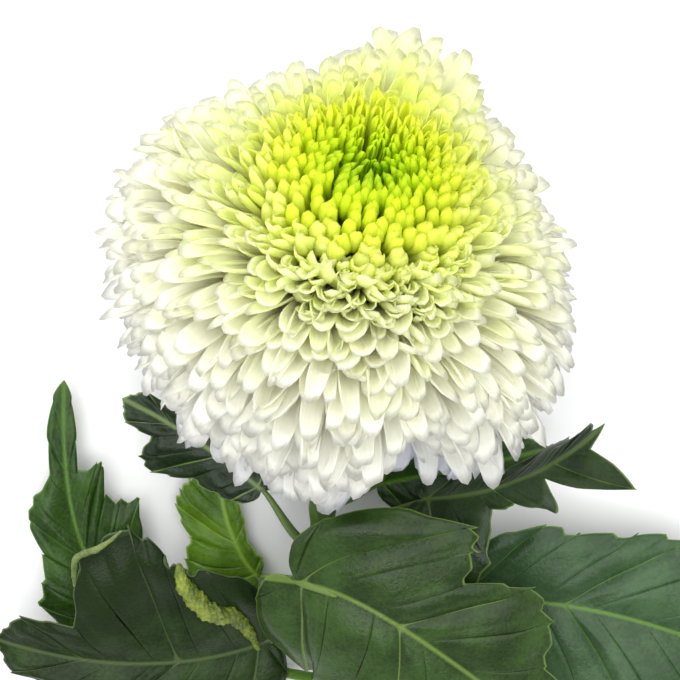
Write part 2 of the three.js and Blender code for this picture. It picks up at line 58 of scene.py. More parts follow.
# The drawing frame's point that the part's origin stands at.
TABLE_ORIGIN = np.array([10.5, -70.2, 0.0])
GOLDEN_ANGLE = math.pi * (3 - math.sqrt(5))
Pair = tuple[float, float]
Triple = tuple[float, float, float]
Colour = Triple
Keys = tuple[Pair, ...]
Faces = list[tuple[int, ...]]
Number = Union["Signal", float]
Inputs = dict[Union[str, int], object]


class Slot(Enum):
    """The record's material slots."""

    PETALS = "petals"
    BRACTS = "bracts"
    STALK = "stalk"
    LEAF = "leaf"


# ------------------------------------------------------------------ small numeric helpers


def unit(vectors: np.ndarray) -> np.ndarray:
    """Vectors, or one vector, scaled to length one."""
    return vectors / np.maximum(np.linalg.norm(vectors, axis=-1, keepdims=True), 1e-12)


def smooth(x: np.ndarray) -> np.ndarray:
    """The eased step of values clamped between 0 and 1."""
    x = np.clip(x, 0.0, 1.0)
    return x * x * (3 - 2 * x)


def keyed(keys: Sequence[Pair], at: np.ndarray) -> np.ndarray:
    """Reads a list of (place, value) keys, straight between them."""
    places, values = zip(*keys)
    return np.interp(at, places, values)


def run_along(points: np.ndarray) -> np.ndarray:
    """How far along a line of points each one lies."""
    return np.concatenate([[0], np.cumsum(np.linalg.norm(np.diff(points, axis=0), axis=1))])


def read_rows(at: np.ndarray, places: np.ndarray, rows: np.ndarray) -> np.ndarray:
    """Reads rows of numbers, which belong to places, straight between them."""
    return np.stack([np.interp(at, places, column) for column in rows.T], axis=-1)


def to_part(points: np.ndarray) -> np.ndarray:
    """Turns millimetres of the drawing frame into metres of the part's frame."""
    return (points - TABLE_ORIGIN) * METRE


# ------------------------------------------------------------------ node arithmetic


class Signal:
    """A socket of a node tree that ordinary arithmetic combines into Math nodes."""

    def __init__(self, tree: NodeTree, socket: NodeSocket, vector: bool = False) -> None:
        """Wraps a socket.

        Args:
            tree: the node tree that the socket is in.
            socket: the output that gives the value.
            vector: whether it gives a vector.
        """
        self.tree, self.socket, self.vector = tree, socket, vector

    def combined(self, operation: str, *inputs: Number, vector: bool = False) -> "Signal":
        """Adds a Math node, or one for vectors.

        Args:
            operation: the node's operation.
            inputs: its inputs in order, signals or numbers.
            vector: whether it works on vectors.

        Returns:
            The node's result.
        """
        kind = "ShaderNodeVectorMath" if vector else "ShaderNodeMath"
        node = add_node(self.tree, kind, dict(enumerate(inputs)), operation=operation)
        return Signal(self.tree, node.outputs[0], vector)

    def _pair(self, operation: str, first: Number, second: Number) -> "Signal":
        """Combines two signals, or a signal and a number."""
        either = any(isinstance(value, Signal) and value.vector for value in (first, second))
        return self.combined(operation, first, second, vector=either)

    def __add__(self, other: Number) -> "Signal":
        """The sum."""
        return self._pair("ADD", self, other)

    __radd__ = __add__

    def __sub__(self, other: Number) -> "Signal":
        """The difference."""
        return self._pair("SUBTRACT", self, other)

    def __rsub__(self, other: Number) -> "Signal":
        """The difference the other way round."""
        return self._pair("SUBTRACT", other, self)

    def __mul__(self, other: Number) -> "Signal":
        """The product, of a vector and a number too."""
        if self.vector and not (isinstance(other, Signal) and other.vector):
            node = add_node(self.tree, "ShaderNodeVectorMath", {0: self, "Scale": other}, operation="SCALE")
            return Signal(self.tree, node.outputs[0], vector=True)
        if isinstance(other, Signal) and other.vector and not self.vector:
            return other * self
        return self._pair("MULTIPLY", self, other)

    __rmul__ = __mul__

    def __truediv__(self, other: Number) -> "Signal":
        """The quotient of two numbers."""
        return self._pair("DIVIDE", self, other)

    def power(self, exponent: Number) -> "Signal":
        """This number raised to a power."""
        return self.combined("POWER", self, exponent)

    def exponential(self) -> "Signal":
        """The exponential."""
        return self.combined("EXPONENT", self)

    def sine(self) -> "Signal":
        """The sine."""
        return self.combined("SINE", self)

    def cosine(self) -> "Signal":
        """The cosine."""
        return self.combined("COSINE", self)

    def root(self) -> "Signal":
        """The square root."""
        return self.combined("SQRT", self)

    def least(self, other: Number) -> "Signal":
        """The smaller of two numbers."""
        return self.combined("MINIMUM", self, other)

    def most(self, other: Number) -> "Signal":
        """The larger of two numbers."""
        return self.combined("MAXIMUM", self, other)

    def step(self, start: float, end: float) -> "Signal":
        """The eased step from 0 at `start` to 1 at `end`."""
        reads = {"Value": self, "From Min": start, "From Max": end}
        node = add_node(self.tree, "ShaderNodeMapRange", reads, interpolation_type="SMOOTHSTEP")
        return Signal(self.tree, node.outputs[0])

    def cross(self, other: "Signal") -> "Signal":
        """The cross product."""
        return self.combined("CROSS_PRODUCT", self, other, vector=True)

    def unit(self) -> "Signal":
        """This vector scaled to length one."""
        return self.combined("NORMALIZE", self, vector=True)

    def parts(self) -> tuple["Signal", "Signal", "Signal"]:
        """The vector's three numbers."""
        node = add_node(self.tree, "ShaderNodeSeparateXYZ", {0: self})
        return tuple(Signal(self.tree, socket) for socket in node.outputs)


def feed(tree: NodeTree, value: object, socket: NodeSocket) -> None:
    """Links a signal or an output to an input, or writes a plain value in it."""
    if isinstance(value, (Signal, NodeSocket)):
        tree.links.new(getattr(value, "socket", value), socket)
    else:
        socket.default_value = (*value, 1.0) if socket.type == "RGBA" else value


def feed_all(tree: NodeTree, node: Node, inputs: Inputs) -> None:
    """Feeds a node's named or numbered inputs."""
    for title, value in inputs.items():
        feed(tree, value, node.inputs[title])


def add_node(tree: NodeTree, kind: str, inputs: Inputs, **settings: object) -> Node:
    """Adds a node.

    Args:
        tree: the node tree.
        kind: the node's type.
        inputs: what its named or numbered inputs are fed with.
        settings: the node's own settings.

    Returns:
        The node.
    """
    node = tree.nodes.new(kind)
    for title, value in settings.items():
        setattr(node, title, value)
    feed_all(tree, node, inputs)
    return node


def add_sockets(tree: NodeTree, way: str, kind: str, titles: Sequence[str]) -> None:
    """Gives a node group its named inputs or outputs of one kind."""
    for title in titles:
        tree.interface.new_socket(title, in_out=way, socket_type="NodeSocket" + kind)


def join_vector(tree: NodeTree, *numbers: Number) -> Signal:
    """Three numbers as one vector."""
    node = add_node(tree, "ShaderNodeCombineXYZ", dict(enumerate(numbers)))
    return Signal(tree, node.outputs[0], vector=True)


# ------------------------------------------------------------------ the strap tree


@dataclass
class StrapTree:
    """The node tree that bends one strap per point: florets of the head and scales of the cup.

    Each point carries four vectors of a curve, the strap's side vector and its form.
    """

    name: str = "bent_straps"
    merge_distance: float = 0.004
    table_softness: float = 0.0016
    # How the template's rows crowd towards the tip, and where its root and tip draw in.
    crowding: float = 1.45
    root_opening: float = 8.0
    tip_closing: float = 6.0
    # Shares of the length where the claw ends, the cup starts to change, the tip starts and is notched.
    claw_end: float = 0.74
    cup_start: float = 0.3
    tip_start: float = 0.62
    notch_start: float = 0.72
    notch_turns: float = 9.4
    ripple_turns: float = 11.0
    tree: Optional[NodeTree] = field(default=None, init=False)

    def build(self) -> NodeTree:
        """Builds the tree once.

        Returns:
            The node tree.
        """
        tree = bpy.data.node_groups.new(self.name, "GeometryNodeTree")
        add_sockets(tree, "INPUT", "Geometry", ("Points",))
        add_sockets(tree, "INPUT", "Int", ("Columns", "Rows"))
        add_sockets(tree, "INPUT", "Material", ("Finish",))
        add_sockets(tree, "OUTPUT", "Geometry", ("Straps",))
        self.tree = tree
        given = tree.nodes.new("NodeGroupInput")
        placed = add_node(tree, "GeometryNodeInstanceOnPoints",
                          {"Points": given.outputs["Points"], "Instance": self._template(given)})
        real = add_node(tree, "GeometryNodeRealizeInstances", {0: placed.outputs[0]})
        kept = add_node(tree, "GeometryNodeStoreNamedAttribute",
                        {"Geometry": real.outputs[0], "Name": "strap", "Value": self._position()},
                        data_type="FLOAT_VECTOR", domain="POINT")
        bent = add_node(tree, "GeometryNodeSetPosition",
                        {"Geometry": kept.outputs[0], "Position": self._bent_place()})
        soft = add_node(tree, "GeometryNodeSetShadeSmooth", {"Geometry": bent.outputs[0]})
        dressed = add_node(tree, "GeometryNodeSetMaterial",
                           {"Geometry": soft.outputs[0], "Material": given.outputs["Finish"]})
        add_node(tree, "NodeGroupOutput", {0: dressed.outputs[0]})
        return tree

    def _position(self) -> Signal:
        """The place of the vertex that is being read."""
        return Signal(self.tree, self.tree.nodes.new("GeometryNodeInputPosition").outputs[0], vector=True)

    def _attribute(self, name: str) -> Signal:
        """A vector that the points carry."""
        node = add_node(self.tree, "GeometryNodeInputNamedAttribute", {"Name": name},
                        data_type="FLOAT_VECTOR")
        return Signal(self.tree, next(s for s in node.outputs if s.enabled), vector=True)

    def _template(self, given: Node) -> NodeSocket:
        """The flat closed strap: x across, y from root to tip, z the face it is on.

        Args:
            given: the tree's input node.

        Returns:
            The socket of the closed template.
        """
        tree = self.tree
        sheets = tree.nodes.new("GeometryNodeJoinGeometry")
        for face in (1.0, -1.0):
            grid = add_node(tree, "GeometryNodeMeshGrid",
                            {"Size X": 2.0, "Size Y": 1.0, "Vertices X": given.outputs["Columns"],
                             "Vertices Y": given.outputs["Rows"]})
            sheet = grid.outputs["Mesh"]
            if face < 0:
                sheet = add_node(tree, "GeometryNodeFlipFaces", {0: sheet}).outputs[0]
            x, y, _ = self._position().parts()
            across = (x * (math.pi / 2)).sine()
            share = y + 0.5
            along = 1.0 - (1.0 - share).most(0.0).power(self.crowding)
            crown = (1.0 - x * x).most(0.0).root() * (1.0 - share.power(self.tip_closing)).most(0.0).root()
            height = crown * (share * self.root_opening).least(1.0) * face
            shaped = add_node(tree, "GeometryNodeSetPosition",
                              {"Geometry": sheet, "Position": join_vector(tree, across, along, height)})
            feed(tree, shaped.outputs[0], sheets.inputs[0])
        closed = add_node(tree, "GeometryNodeMergeByDistance",
                          {"Geometry": sheets.outputs[0], "Distance": self.merge_distance})
        return closed.outputs[0]

    def _bent_place(self) -> Signal:
        """Where a vertex of the flat strap goes, from what its point carries."""
        u, v, face = self._position().parts()
        half_width, length, thickness = self._attribute("size").parts()
        cup_root, cup_tip, twist = self._attribute("roll").parts()
        claw, taper, lift = self._attribute("tip").parts()
        notch, wave, phase = self._attribute("edge").parts()
        rounding, bluntness, hood = self._attribute("end").parts()
        side = self._attribute("side")
        p0, p1, p2, p3 = (self._attribute(f"spine_{i}") for i in range(4))

        corner = rounding * (half_width / length) * (1.0 - (1.0 - u * u).most(0.0).root()) * v * v * v
        waves = (u * self.notch_turns + phase).cosine() * 0.5 + 0.5
        teeth = notch * waves * v.step(self.notch_start, 1.0)
        t = (v - corner - teeth).most(0.0)
        s = 1.0 - t
        place = p0 * (s * s * s) + p1 * (s * s * t * 3.0) + p2 * (s * t * t * 3.0) + p3 * (t * t * t)
        heading = ((p1 - p0) * (s * s) + (p2 - p1) * (s * t * 2.0) + (p3 - p2) * (t * t)).unit()
        up = side.cross(heading).unit()
        level = heading.cross(up)
        turn = twist * t
        across = level * turn.cosine() + up * turn.sine()
        normal = up * turn.cosine() - level * turn.sine()

        near_tip = ((t - self.tip_start) / (1.0 - self.tip_start)).most(0.0)
        closing = 1.0 - taper * near_tip.power(bluntness)
        width = half_width * (claw + (1.0 - claw) * t.step(0.0, self.claw_end)) * closing
        cup = cup_root + (cup_tip - cup_root) * t.step(self.cup_start, 1.0)
        angle = cup * u
        radius = width / cup
        curl = half_width * (lift * near_tip * near_tip + hood * near_tip.power(5.0))
        ripple = wave * half_width * u * u * (t * self.ripple_turns + phase).sine()
        height = radius * (1.0 - angle.cosine()) + curl + ripple
        skin = normal * angle.cosine() - across * angle.sine()
        bent = (place + across * (radius * angle.sine()) + normal * height
                + skin * (face * thickness * 0.5))
        x, y, z = bent.parts()
        below = ((z - self.table_softness) / self.table_softness).least(0.0)
        pressed = z.most(self.table_softness) * below.exponential()
        return join_vector(self.tree, x, y, pressed)


@dataclass
class Straps:
    """The straps of one piece: their curves, sizes and forms, one row each, in metres."""

    spine: np.ndarray
    side: np.ndarray
    size: np.ndarray
    roll: np.ndarray
    tip: np.ndarray
    edge: np.ndarray
    end: np.ndarray
    tint: np.ndarray
    columns: int = 7
    rows: int = 7

    def take(self, chosen: np.ndarray) -> "Straps":
        """The chosen straps."""
        arrays = (self.spine, self.side, self.size, self.roll, self.tip, self.edge, self.end, self.tint)
        return Straps(*(array[chosen] for array in arrays), columns=self.columns, rows=self.rows)

    def make(self, name: str, tree: NodeTree, finish: Material) -> Object:
        """Makes the plain mesh of these straps.

        Args:
            name: the object's name.
            tree: the strap tree.
            finish: the material.

        Returns:
            The finished object.
        """
        count = len(self.size)
        mesh = bpy.data.meshes.new(name)
        mesh.from_pydata([(0.0, 0.0, 0.0)] * count, [], [])
        carried = {f"spine_{i}": self.spine[:, i] for i in range(4)}
        carried.update(side=self.side, size=self.size, roll=self.roll, tip=self.tip, edge=self.edge,
                       end=self.end, tint=self.tint)
        carry(mesh, carried)
        piece = add_object(name, mesh)
        modifier = piece.modifiers.new("straps", "NODES")
        modifier.node_group = tree
        values = {"Columns": self.columns, "Rows": self.rows, "Finish": finish}
        for item in tree.interface.items_tree:
            if item.item_type == "SOCKET" and item.name in values:
                modifier[item.identifier] = values[item.name]
        graph = bpy.context.evaluated_depsgraph_get()
        plain = bpy.data.meshes.new_from_object(piece.evaluated_get(graph), depsgraph=graph)
        piece.modifiers.clear()
        piece.data = plain
        bpy.data.meshes.remove(mesh)
        plain.name = name
        for title in [a.name for a in plain.attributes if a.name in carried and a.name != "tint"]:
            plain.attributes.remove(plain.attributes[title])
        return piece


# ------------------------------------------------------------------ the head's frame


@dataclass(frozen=True)
class Bulge:
    """A place where the head stands out of its rounded outline, or lies under it."""

    height: float
    azimuth: float
    azimuth_spread: float
    polar: float
    polar_spread: float


def hump(bulges: Sequence[Bulge], polar: np.ndarray, azimuth: np.ndarray) -> np.ndarray:
    """How far fuller places stand out of a rounded outline, or hollows lie under it.

    Args:
        bulges: the places, of a negative height where there is a hollow.
        polar: degrees away from the eye.
        azimuth: degrees round the axis.

    Returns:
        The heights in millimetres.
    """
    total = np.zeros_like(polar)
    for b in bulges:
        turn = ((azimuth - b.azimuth + 540) % 360 - 180) / b.azimuth_spread
        tilt = (polar - b.polar) / b.polar_spread
        total += b.height * np.exp(-turn**2 - tilt**2)
    return total


@dataclass
class HeadFrame:
    """The head's own axes and its outline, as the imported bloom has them."""

    centre: np.ndarray = field(default_factory=lambda: np.array([-2.5, 0.0, 54.0]))
    axis: np.ndarray = field(default_factory=lambda: unit(np.array([0.162, 0.789, 0.592])))
    front: np.ndarray = field(default_factory=lambda: np.array([0.138, -0.612, 0.778]))
    radius: float = 59.0
    rise: float = 47.0
    back: float = 52.0
    dish_depth: float = 5.0
    dish_spread: float = 11.0
    cup_seat: float = 24.0
    bulges: tuple[Bulge, ...] = (Bulge(16, 154, 24, 62, 20), Bulge(3.5, 262, 35, 80, 30))

    def __post_init__(self) -> None:
        """Finds the two axes across the head."""
        self.side = unit(np.cross(self.axis, self.front))
        self.down = np.cross(self.side, self.axis)

    def turn(self, vectors: np.ndarray) -> np.ndarray:
        """Vectors of the head's frame turned into the drawing frame."""
        return vectors @ np.stack([self.down, self.side, self.axis])

    def place(self, points: np.ndarray) -> np.ndarray:
        """Points of the head's frame in the drawing frame."""
        return self.centre + self.turn(points)

    def outward(self, polar: np.ndarray, azimuth: np.ndarray) -> tuple[np.ndarray, np.ndarray]:
        """The directions out of the head and back along it.

        Args:
            polar: degrees away from the eye.
            azimuth: degrees round the axis, from the side that faces down the stalk.

        Returns:
            The unit vectors out and back, in the head's frame.
        """
        p, a = np.radians(polar), np.radians(azimuth)
        out = np.stack([np.sin(p) * np.cos(a), np.sin(p) * np.sin(a), np.cos(p)], axis=-1)
        back = np.stack([np.cos(p) * np.cos(a), np.cos(p) * np.sin(a), -np.sin(p)], axis=-1)
        return out, back

    def envelope(self, polar: np.ndarray, azimuth: np.ndarray) -> np.ndarray:
        """How far the floret tips lie from the head's centre."""
        rise = np.where(polar < 90, self.rise, self.back)
        across = np.sin(np.radians(polar)) / self.radius
        along = np.cos(np.radians(polar)) / rise
        dish = self.dish_depth * np.exp(-((polar / self.dish_spread) ** 2))
        return 1 / np.hypot(across, along) - dish + hump(self.bulges, polar, azimuth)


# ------------------------------------------------------------------ finishes


def new_material(name: str) -> tuple[Material, NodeTree, Node]:
    """A new node material.

    Args:
        name: its name.

    Returns:
        The material, its tree and its Principled node.
    """
    material = bpy.data.materials.new(name)
    material.use_nodes = True
    tree = material.node_tree
    return material, tree, tree.nodes["Principled BSDF"]


def read_attribute(tree: NodeTree, name: str) -> Signal:
    """A vector attribute of the piece."""
    node = add_node(tree, "ShaderNodeAttribute", {}, attribute_name=name)
    return Signal(tree, node.outputs["Vector"], vector=True)


def ramp(tree: NodeTree, value: Signal, stops: Sequence[tuple[float, Colour]]) -> Signal:
    """A colour ramp.

    Args:
        tree: the material's tree.
        value: what is looked up.
        stops: the places and colours.

    Returns:
        The colour.
    """
    node = add_node(tree, "ShaderNodeValToRGB", {0: value})
    elements = node.color_ramp.elements
    while len(elements) < len(stops):
        elements.new(0.5)
    for element, (place, colour) in zip(elements, stops):
        element.position = place
        element.color = (*colour, 1.0)
    return Signal(tree, node.outputs[0], vector=True)


def mix(tree: NodeTree, share: object, first: object, second: object, blend: str = "MIX") -> Signal:
    """Mixes two colours.

    Args:
        tree: the tree.
        share: how much of the second one.
        first: the first colour.
        second: the second colour.
        blend: the way they are mixed.

    Returns:
        The mixed colour.
    """
    node = add_node(tree, "ShaderNodeMix", {}, data_type="RGBA", blend_type=blend)
    for socket, value in zip([s for s in node.inputs if s.enabled], (share, first, second)):
        feed(tree, value, socket)
    return Signal(tree, next(s for s in node.outputs if s.enabled), vector=True)


def object_place(tree: NodeTree) -> NodeSocket:
    """The place on the object's own coordinates."""
    return tree.nodes.new("ShaderNodeTexCoord").outputs["Object"]


def noise(tree: NodeTree, scale: float, detail: float = 2.0) -> Signal:
    """Noise on the object's own coordinates, from 0 to 1.

    Args:
        tree: the tree.
        scale: cells per metre.
        detail: the octaves.

    Returns:
        The noise's value.
    """
    reads = {"Vector": object_place(tree), "Scale": scale, "Detail": detail}
    node = add_node(tree, "ShaderNodeTexNoise", reads)
    return Signal(tree, node.outputs[0])


def bump(tree: NodeTree, height: Signal, strength: float, distance: float) -> Signal:
    """A bumped normal from a height."""
    reads = {"Strength": strength, "Distance": distance, "Height": height}
    node = add_node(tree, "ShaderNodeBump", reads)
    return Signal(tree, node.outputs[0], vector=True)


def let_light_through(tree: NodeTree, surface: Node, colour: Signal, share: float) -> None:
    """Makes a thin surface partly translucent.

    Args:
        tree: the material's tree.
        surface: its Principled node.
        colour: the colour of the light that comes through.
        share: how much of the surface is translucent.
    """
    through = add_node(tree, "ShaderNodeBsdfTranslucent", {"Color": colour})
    blend = add_node(tree, "ShaderNodeMixShader", {0: share, 1: surface.outputs[0], 2: through.outputs[0]})
    feed(tree, blend.outputs[0], tree.nodes["Material Output"].inputs["Surface"])


@dataclass(frozen=True)
class PetalFinish:
    """Soft petal: green in the eye, lime to cream round it, white further out, with painted bluish shade on
    the lowest florets.

    `tips` and `roots` are colours by how far from the eye the floret stands, from 0 to 1.
    """

    name: str = "petal"
    glow: float = 0.55
    roughness: float = 0.5
    gloss: float = 0.3
    # The last stop of each ramp is painted shade: the lowest florets turn darker, their tips bluish grey.
    tips: tuple[tuple[float, Colour], ...] = (
        (0.0, (0.60, 0.84, 0.010)), (0.06, (0.80, 0.94, 0.020)), (0.13, (0.92, 0.97, 0.045)),
        (0.20, (0.95, 0.98, 0.14)), (0.26, (0.96, 0.98, 0.38)), (0.32, (0.97, 0.98, 0.70)),
        (0.42, (0.98, 0.98, 0.88)), (0.60, (0.98, 0.98, 0.94)), (0.78, (0.96, 0.96, 0.95)),
        (0.88, (0.80, 0.82, 0.89)))
    roots: tuple[tuple[float, Colour], ...] = (
        (0.0, (0.40, 0.66, 0.006)), (0.12, (0.74, 0.90, 0.015)), (0.2, (0.90, 0.96, 0.06)),
        (0.28, (0.97, 0.98, 0.56)), (0.38, (0.98, 0.975, 0.82)), (0.55, (0.985, 0.975, 0.88)),
        (0.88, (0.90, 0.90, 0.88)))
    lime: Colour = (0.82, 0.93, 0.20)
    groove: Colour = (0.62, 0.62, 0.38)
    groove_turns: float = 15.0
    groove_share: float = 0.07
    # How much a floret's chance shifts its colour along the ramps.
    chance_shift: float = 0.04
    # Where along a petal the tip's colour and the lime come in, and their shares on its middle line. The
    # root's colour that stays on the middle line is partly the floret's own colour and partly painted warm
    # shade in its trough.
    tip_blend: Pair = (0.35, 0.88)
    lime_blend: Pair = (0.45, 1.0)
    tip_middle: float = 0.65
    lime_middle: float = 0.3
    grain_scale: float = 1800.0
    grain_share: float = 0.2

    def make(self) -> Material:
        """Builds the material.

        Returns:
            The petal material.
        """
        material, tree, surface = new_material(self.name)
        u, v, _ = read_attribute(tree, "strap").parts()
        ring, chance, lime = read_attribute(tree, "tint").parts()
        shade = ring + (chance - 0.5) * self.chance_shift
        tips, roots = ramp(tree, shade, self.tips), ramp(tree, shade, self.roots)
        # Partly painted shade: the middle line keeps more of the root's cream, which also stands for the
        # warm shade in the trough.
        tip_edges = u * u * (1.0 - self.tip_middle) + self.tip_middle
        lime_edges = u * u * (1.0 - self.lime_middle) + self.lime_middle
        along = mix(tree, v.step(*self.tip_blend) * tip_edges, roots, tips)
        limed = mix(tree, lime * v.step(*self.lime_blend) * lime_edges, along, self.lime)
        grooves = (u * self.groove_turns + chance * 6.0).cosine() * 0.5 + 0.5
        streaked = mix(tree, grooves * self.groove_share, limed, self.groove, "MULTIPLY")
        # The relief fades out before the tip, whose edge is too thin for it.
        grain = noise(tree, self.grain_scale) * self.grain_share + grooves * (1.0 - self.grain_share)
        grain = grain * (1.0 - v.step(0.8, 1.0))
        relief = bump(tree, grain, 0.35, 0.0003)
        feed_all(tree, surface, {"Base Color": streaked, "Roughness": self.roughness,
                                 "Specular IOR Level": self.gloss, "Normal": relief})
        let_light_through(tree, surface, streaked, self.glow)
        return material


@dataclass(frozen=True)
class GreenFinish:
    """Fleshy green of the cup, the stalk and the rolled margins: mottled and finely bumpy."""

    name: str
    dark: Colour
    pale: Colour
    roughness: float = 0.5

    def make(self) -> Material:
        """Builds the material.

        Returns:
            The green material.
        """
        material, tree, surface = new_material(self.name)
        patches = noise(tree, 160.0, 3.0)
        fine = noise(tree, 1500.0)
        colour = mix(tree, (patches * 0.75 + fine * 0.4).step(0.35, 0.8), self.dark, self.pale)
        feed_all(tree, surface, {"Base Color": colour, "Roughness": self.roughness + (fine - 0.5) * 0.25,
                                 "Normal": bump(tree, fine * 0.5 + patches, 0.35, 0.0004)})
        return material


@dataclass(frozen=True)
class LeafSkin:
    """The shader group that every leaf shares: veins, mottling, the pale margin and painted shade on one
    half.

    Widths are millimetres from the line, as pairs of where a colour is full and where it ends.
    """

    name: str = "leaf_skin"
    patch_scale: float = 90.0
    fine_scale: float = 900.0
    cell_scale: float = 650.0
    mottling: Pair = (0.3, 0.75)
    # How strongly the net of cells, the side veins, the main veins and the margin show.
    line_shares: tuple[float, float, float, float] = (0.03, 0.03, 0.8, 0.9)
    # What the patches, the way to the tip and the underside each add to the plain roughness.
    plain_roughness: float = 0.24
    rougher: Triple = (0.16, 0.06, 0.25)
    # The heights of the fine grain and the patches, and the depths of net, side veins and main veins.
    relief: tuple[float, float, float, float, float] = (0.25, 0.9, 0.12, 0.12, 0.1)
    main_line: Pair = (0.15, 0.95)
    side_line: Pair = (0.1, 1.2)
    rim_line: Pair = (0.25, 0.7)
    under_line: Pair = (0.3, 1.4)
    side_valley: Pair = (0.0, 1.6)

    def build(self) -> NodeTree:
        """Builds the group once.

        Returns:
            The shader node group.
        """
        tree = bpy.data.node_groups.new(self.name, "ShaderNodeTree")
        add_sockets(tree, "INPUT", "Color", ("Blade", "Deep", "Vein", "Under"))
        add_sockets(tree, "INPUT", "Float", ("Painted shade right",))
        add_sockets(tree, "OUTPUT", "Color", ("Color",))
        add_sockets(tree, "OUTPUT", "Float", ("Roughness", "Height"))
        given = tree.nodes.new("NodeGroupInput")
        vein_colour, deep = given.outputs["Vein"], given.outputs["Deep"]
        main_vein, side_vein, margin = read_attribute(tree, "leaf_lines").parts()
        along, across, below = read_attribute(tree, "leaf_map").parts()
        patches, fine = noise(tree, self.patch_scale, 3.0), noise(tree, self.fine_scale, 3.0)
        reads = {"Vector": object_place(tree), "Scale": self.cell_scale}
        cells = add_node(tree, "ShaderNodeTexVoronoi", reads, feature="DISTANCE_TO_EDGE")
        net = 1.0 - Signal(tree, cells.outputs["Distance"]).step(0.0, 0.22)
        mottled = (patches + (fine - 0.5) * 0.5).step(*self.mottling)
        blade = mix(tree, mottled, deep, given.outputs["Blade"])
        # Painted shade: the right half of the blade is darkened towards the deep green, where the leaf turns
        # away from the light.
        painted_shade_right = Signal(tree, given.outputs["Painted shade right"]) * (across * -1.0).step(0.0, 0.7)
        blade = mix(tree, painted_shade_right, blade, deep)
        line = 1.0 - main_vein.step(*self.main_line)
        lines = (net, 1.0 - side_vein.step(*self.side_line), line, 1.0 - margin.step(*self.rim_line))
        for drawn, share in zip(lines, self.line_shares):
            blade = mix(tree, drawn * share, blade, vein_colour)
        underside = mix(tree, (1.0 - main_vein.step(*self.under_line)) * 0.6 + net * 0.15,
                        given.outputs["Under"], vein_colour)
        valley = 1.0 - side_vein.step(*self.side_valley)
        grain, patchy, net_depth, side_depth, main_depth = self.relief
        relief = fine * grain + patches * patchy - net * net_depth - valley * side_depth - line * main_depth
        patchy, tip, under = self.rougher
        roughness = self.plain_roughness + patches * patchy + along * tip + below * under
        add_node(tree, "NodeGroupOutput", {"Color": mix(tree, below, blade, underside),
                                           "Roughness": roughness, "Height": relief})
        return tree


@dataclass(frozen=True)
class LeafFinish:
    """One leaf's own greens, how glossy it is and how much painted shade darkens its right half."""

    name: str
    blade: Colour
    deep: Colour
    vein: Colour
    painted_shade_right: float = 0.0
    gloss: float = 0.32
    under: Colour = (0.05, 0.09, 0.035)
    glow: float = 0.06

    def make(self, skin: NodeTree) -> Material:
        """Builds the material.

        Args:
            skin: the shared group.

        Returns:
            The leaf's material.
        """
        material, tree, surface = new_material(self.name)
        greens = {"Blade": self.blade, "Deep": self.deep, "Vein": self.vein, "Under": self.under,
                  "Painted shade right": self.painted_shade_right}
        group = add_node(tree, "ShaderNodeGroup", greens, node_tree=skin)
        colour, roughness, height = (Signal(tree, socket) for socket in group.outputs)
        relief = bump(tree, height, 0.5, 0.0005)
        feed_all(tree, surface, {"Base Color": colour, "Roughness": roughness,
                                 "Specular IOR Level": self.gloss, "Normal": relief})
        let_light_through(tree, surface, colour, self.glow)
        return material


# ------------------------------------------------------------------ meshes


def add_object(name: str, data: ID) -> Object:
    """Adds an object with its data to the scene."""
    thing = bpy.data.objects.new(name, data)
    bpy.context.scene.collection.objects.link(thing)
    return thing


def carry(mesh: Mesh, vectors: dict[str, np.ndarray]) -> None:
    """Stores vectors on a mesh's points, one row a point."""
    for title, rows in vectors.items():
        layer = mesh.attributes.new(title, "FLOAT_VECTOR", "POINT")
        layer.data.foreach_set("vector", np.ascontiguousarray(rows, dtype=np.float32).ravel())


def new_piece(name: str, vertices: np.ndarray, faces: Faces, finish: Material) -> Object:
    """A mesh object from drawing-frame points.

    Args:
        name: the object's name.
        vertices: its points in millimetres.
        faces: its faces.
        finish: its material.

    Returns:
        The object.
    """
    mesh = bpy.data.meshes.new(name)
    mesh.from_pydata(to_part(vertices).tolist(), [], faces)
    mesh.polygons.foreach_set("use_smooth", [True] * len(mesh.polygons))
    mesh.materials.append(finish)
    mesh.update()
    return add_object(name, mesh)


def hand_over(piece: Object, node: str) -> Object:
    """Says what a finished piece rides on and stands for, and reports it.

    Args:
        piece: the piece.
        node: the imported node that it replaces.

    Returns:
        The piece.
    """
    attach(piece, ROOT)
    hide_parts(node)
    LOG.info("%s: %d faces", piece.name, len(piece.data.polygons))
    return piece


def between(t: np.ndarray, low: float, high: float, first: np.ndarray, second: np.ndarray) -> np.ndarray:
    """The straight blend from `first` at `low` to `second` at `high`."""
    return (high - t) / (high - low) * first + (t - low) / (high - low) * second


def catmull_rom(points: np.ndarray, samples: int, steps: int = 40) -> np.ndarray:
    """The centripetal curve through points, sampled evenly along its length.

    Args:
        points: what it passes through.
        samples: how many places to give.
        steps: how finely each stretch is first cut.

    Returns:
        The places.
    """
    points = np.asarray(points, float)
    padded = np.vstack([2 * points[0] - points[1], points, 2 * points[-1] - points[-2]])
    dense = []
    for i in range(len(points) - 1):
        p = padded[i:i + 4]
        knots = np.concatenate([[0], np.cumsum(np.linalg.norm(np.diff(p, axis=0), axis=1) ** 0.5)])
        t = np.linspace(knots[1], knots[2], steps, endpoint=False)[:, None]
        a = [between(t, knots[j], knots[j + 1], p[j], p[j + 1]) for j in range(3)]
        b = [between(t, knots[j], knots[j + 2], a[j], a[j + 1]) for j in range(2)]
        dense.append(between(t, knots[1], knots[2], *b))
    dense = np.vstack(dense + [points[-1:]])
    run = run_along(dense)
    return read_rows(np.linspace(0, run[-1], samples), run, dense)


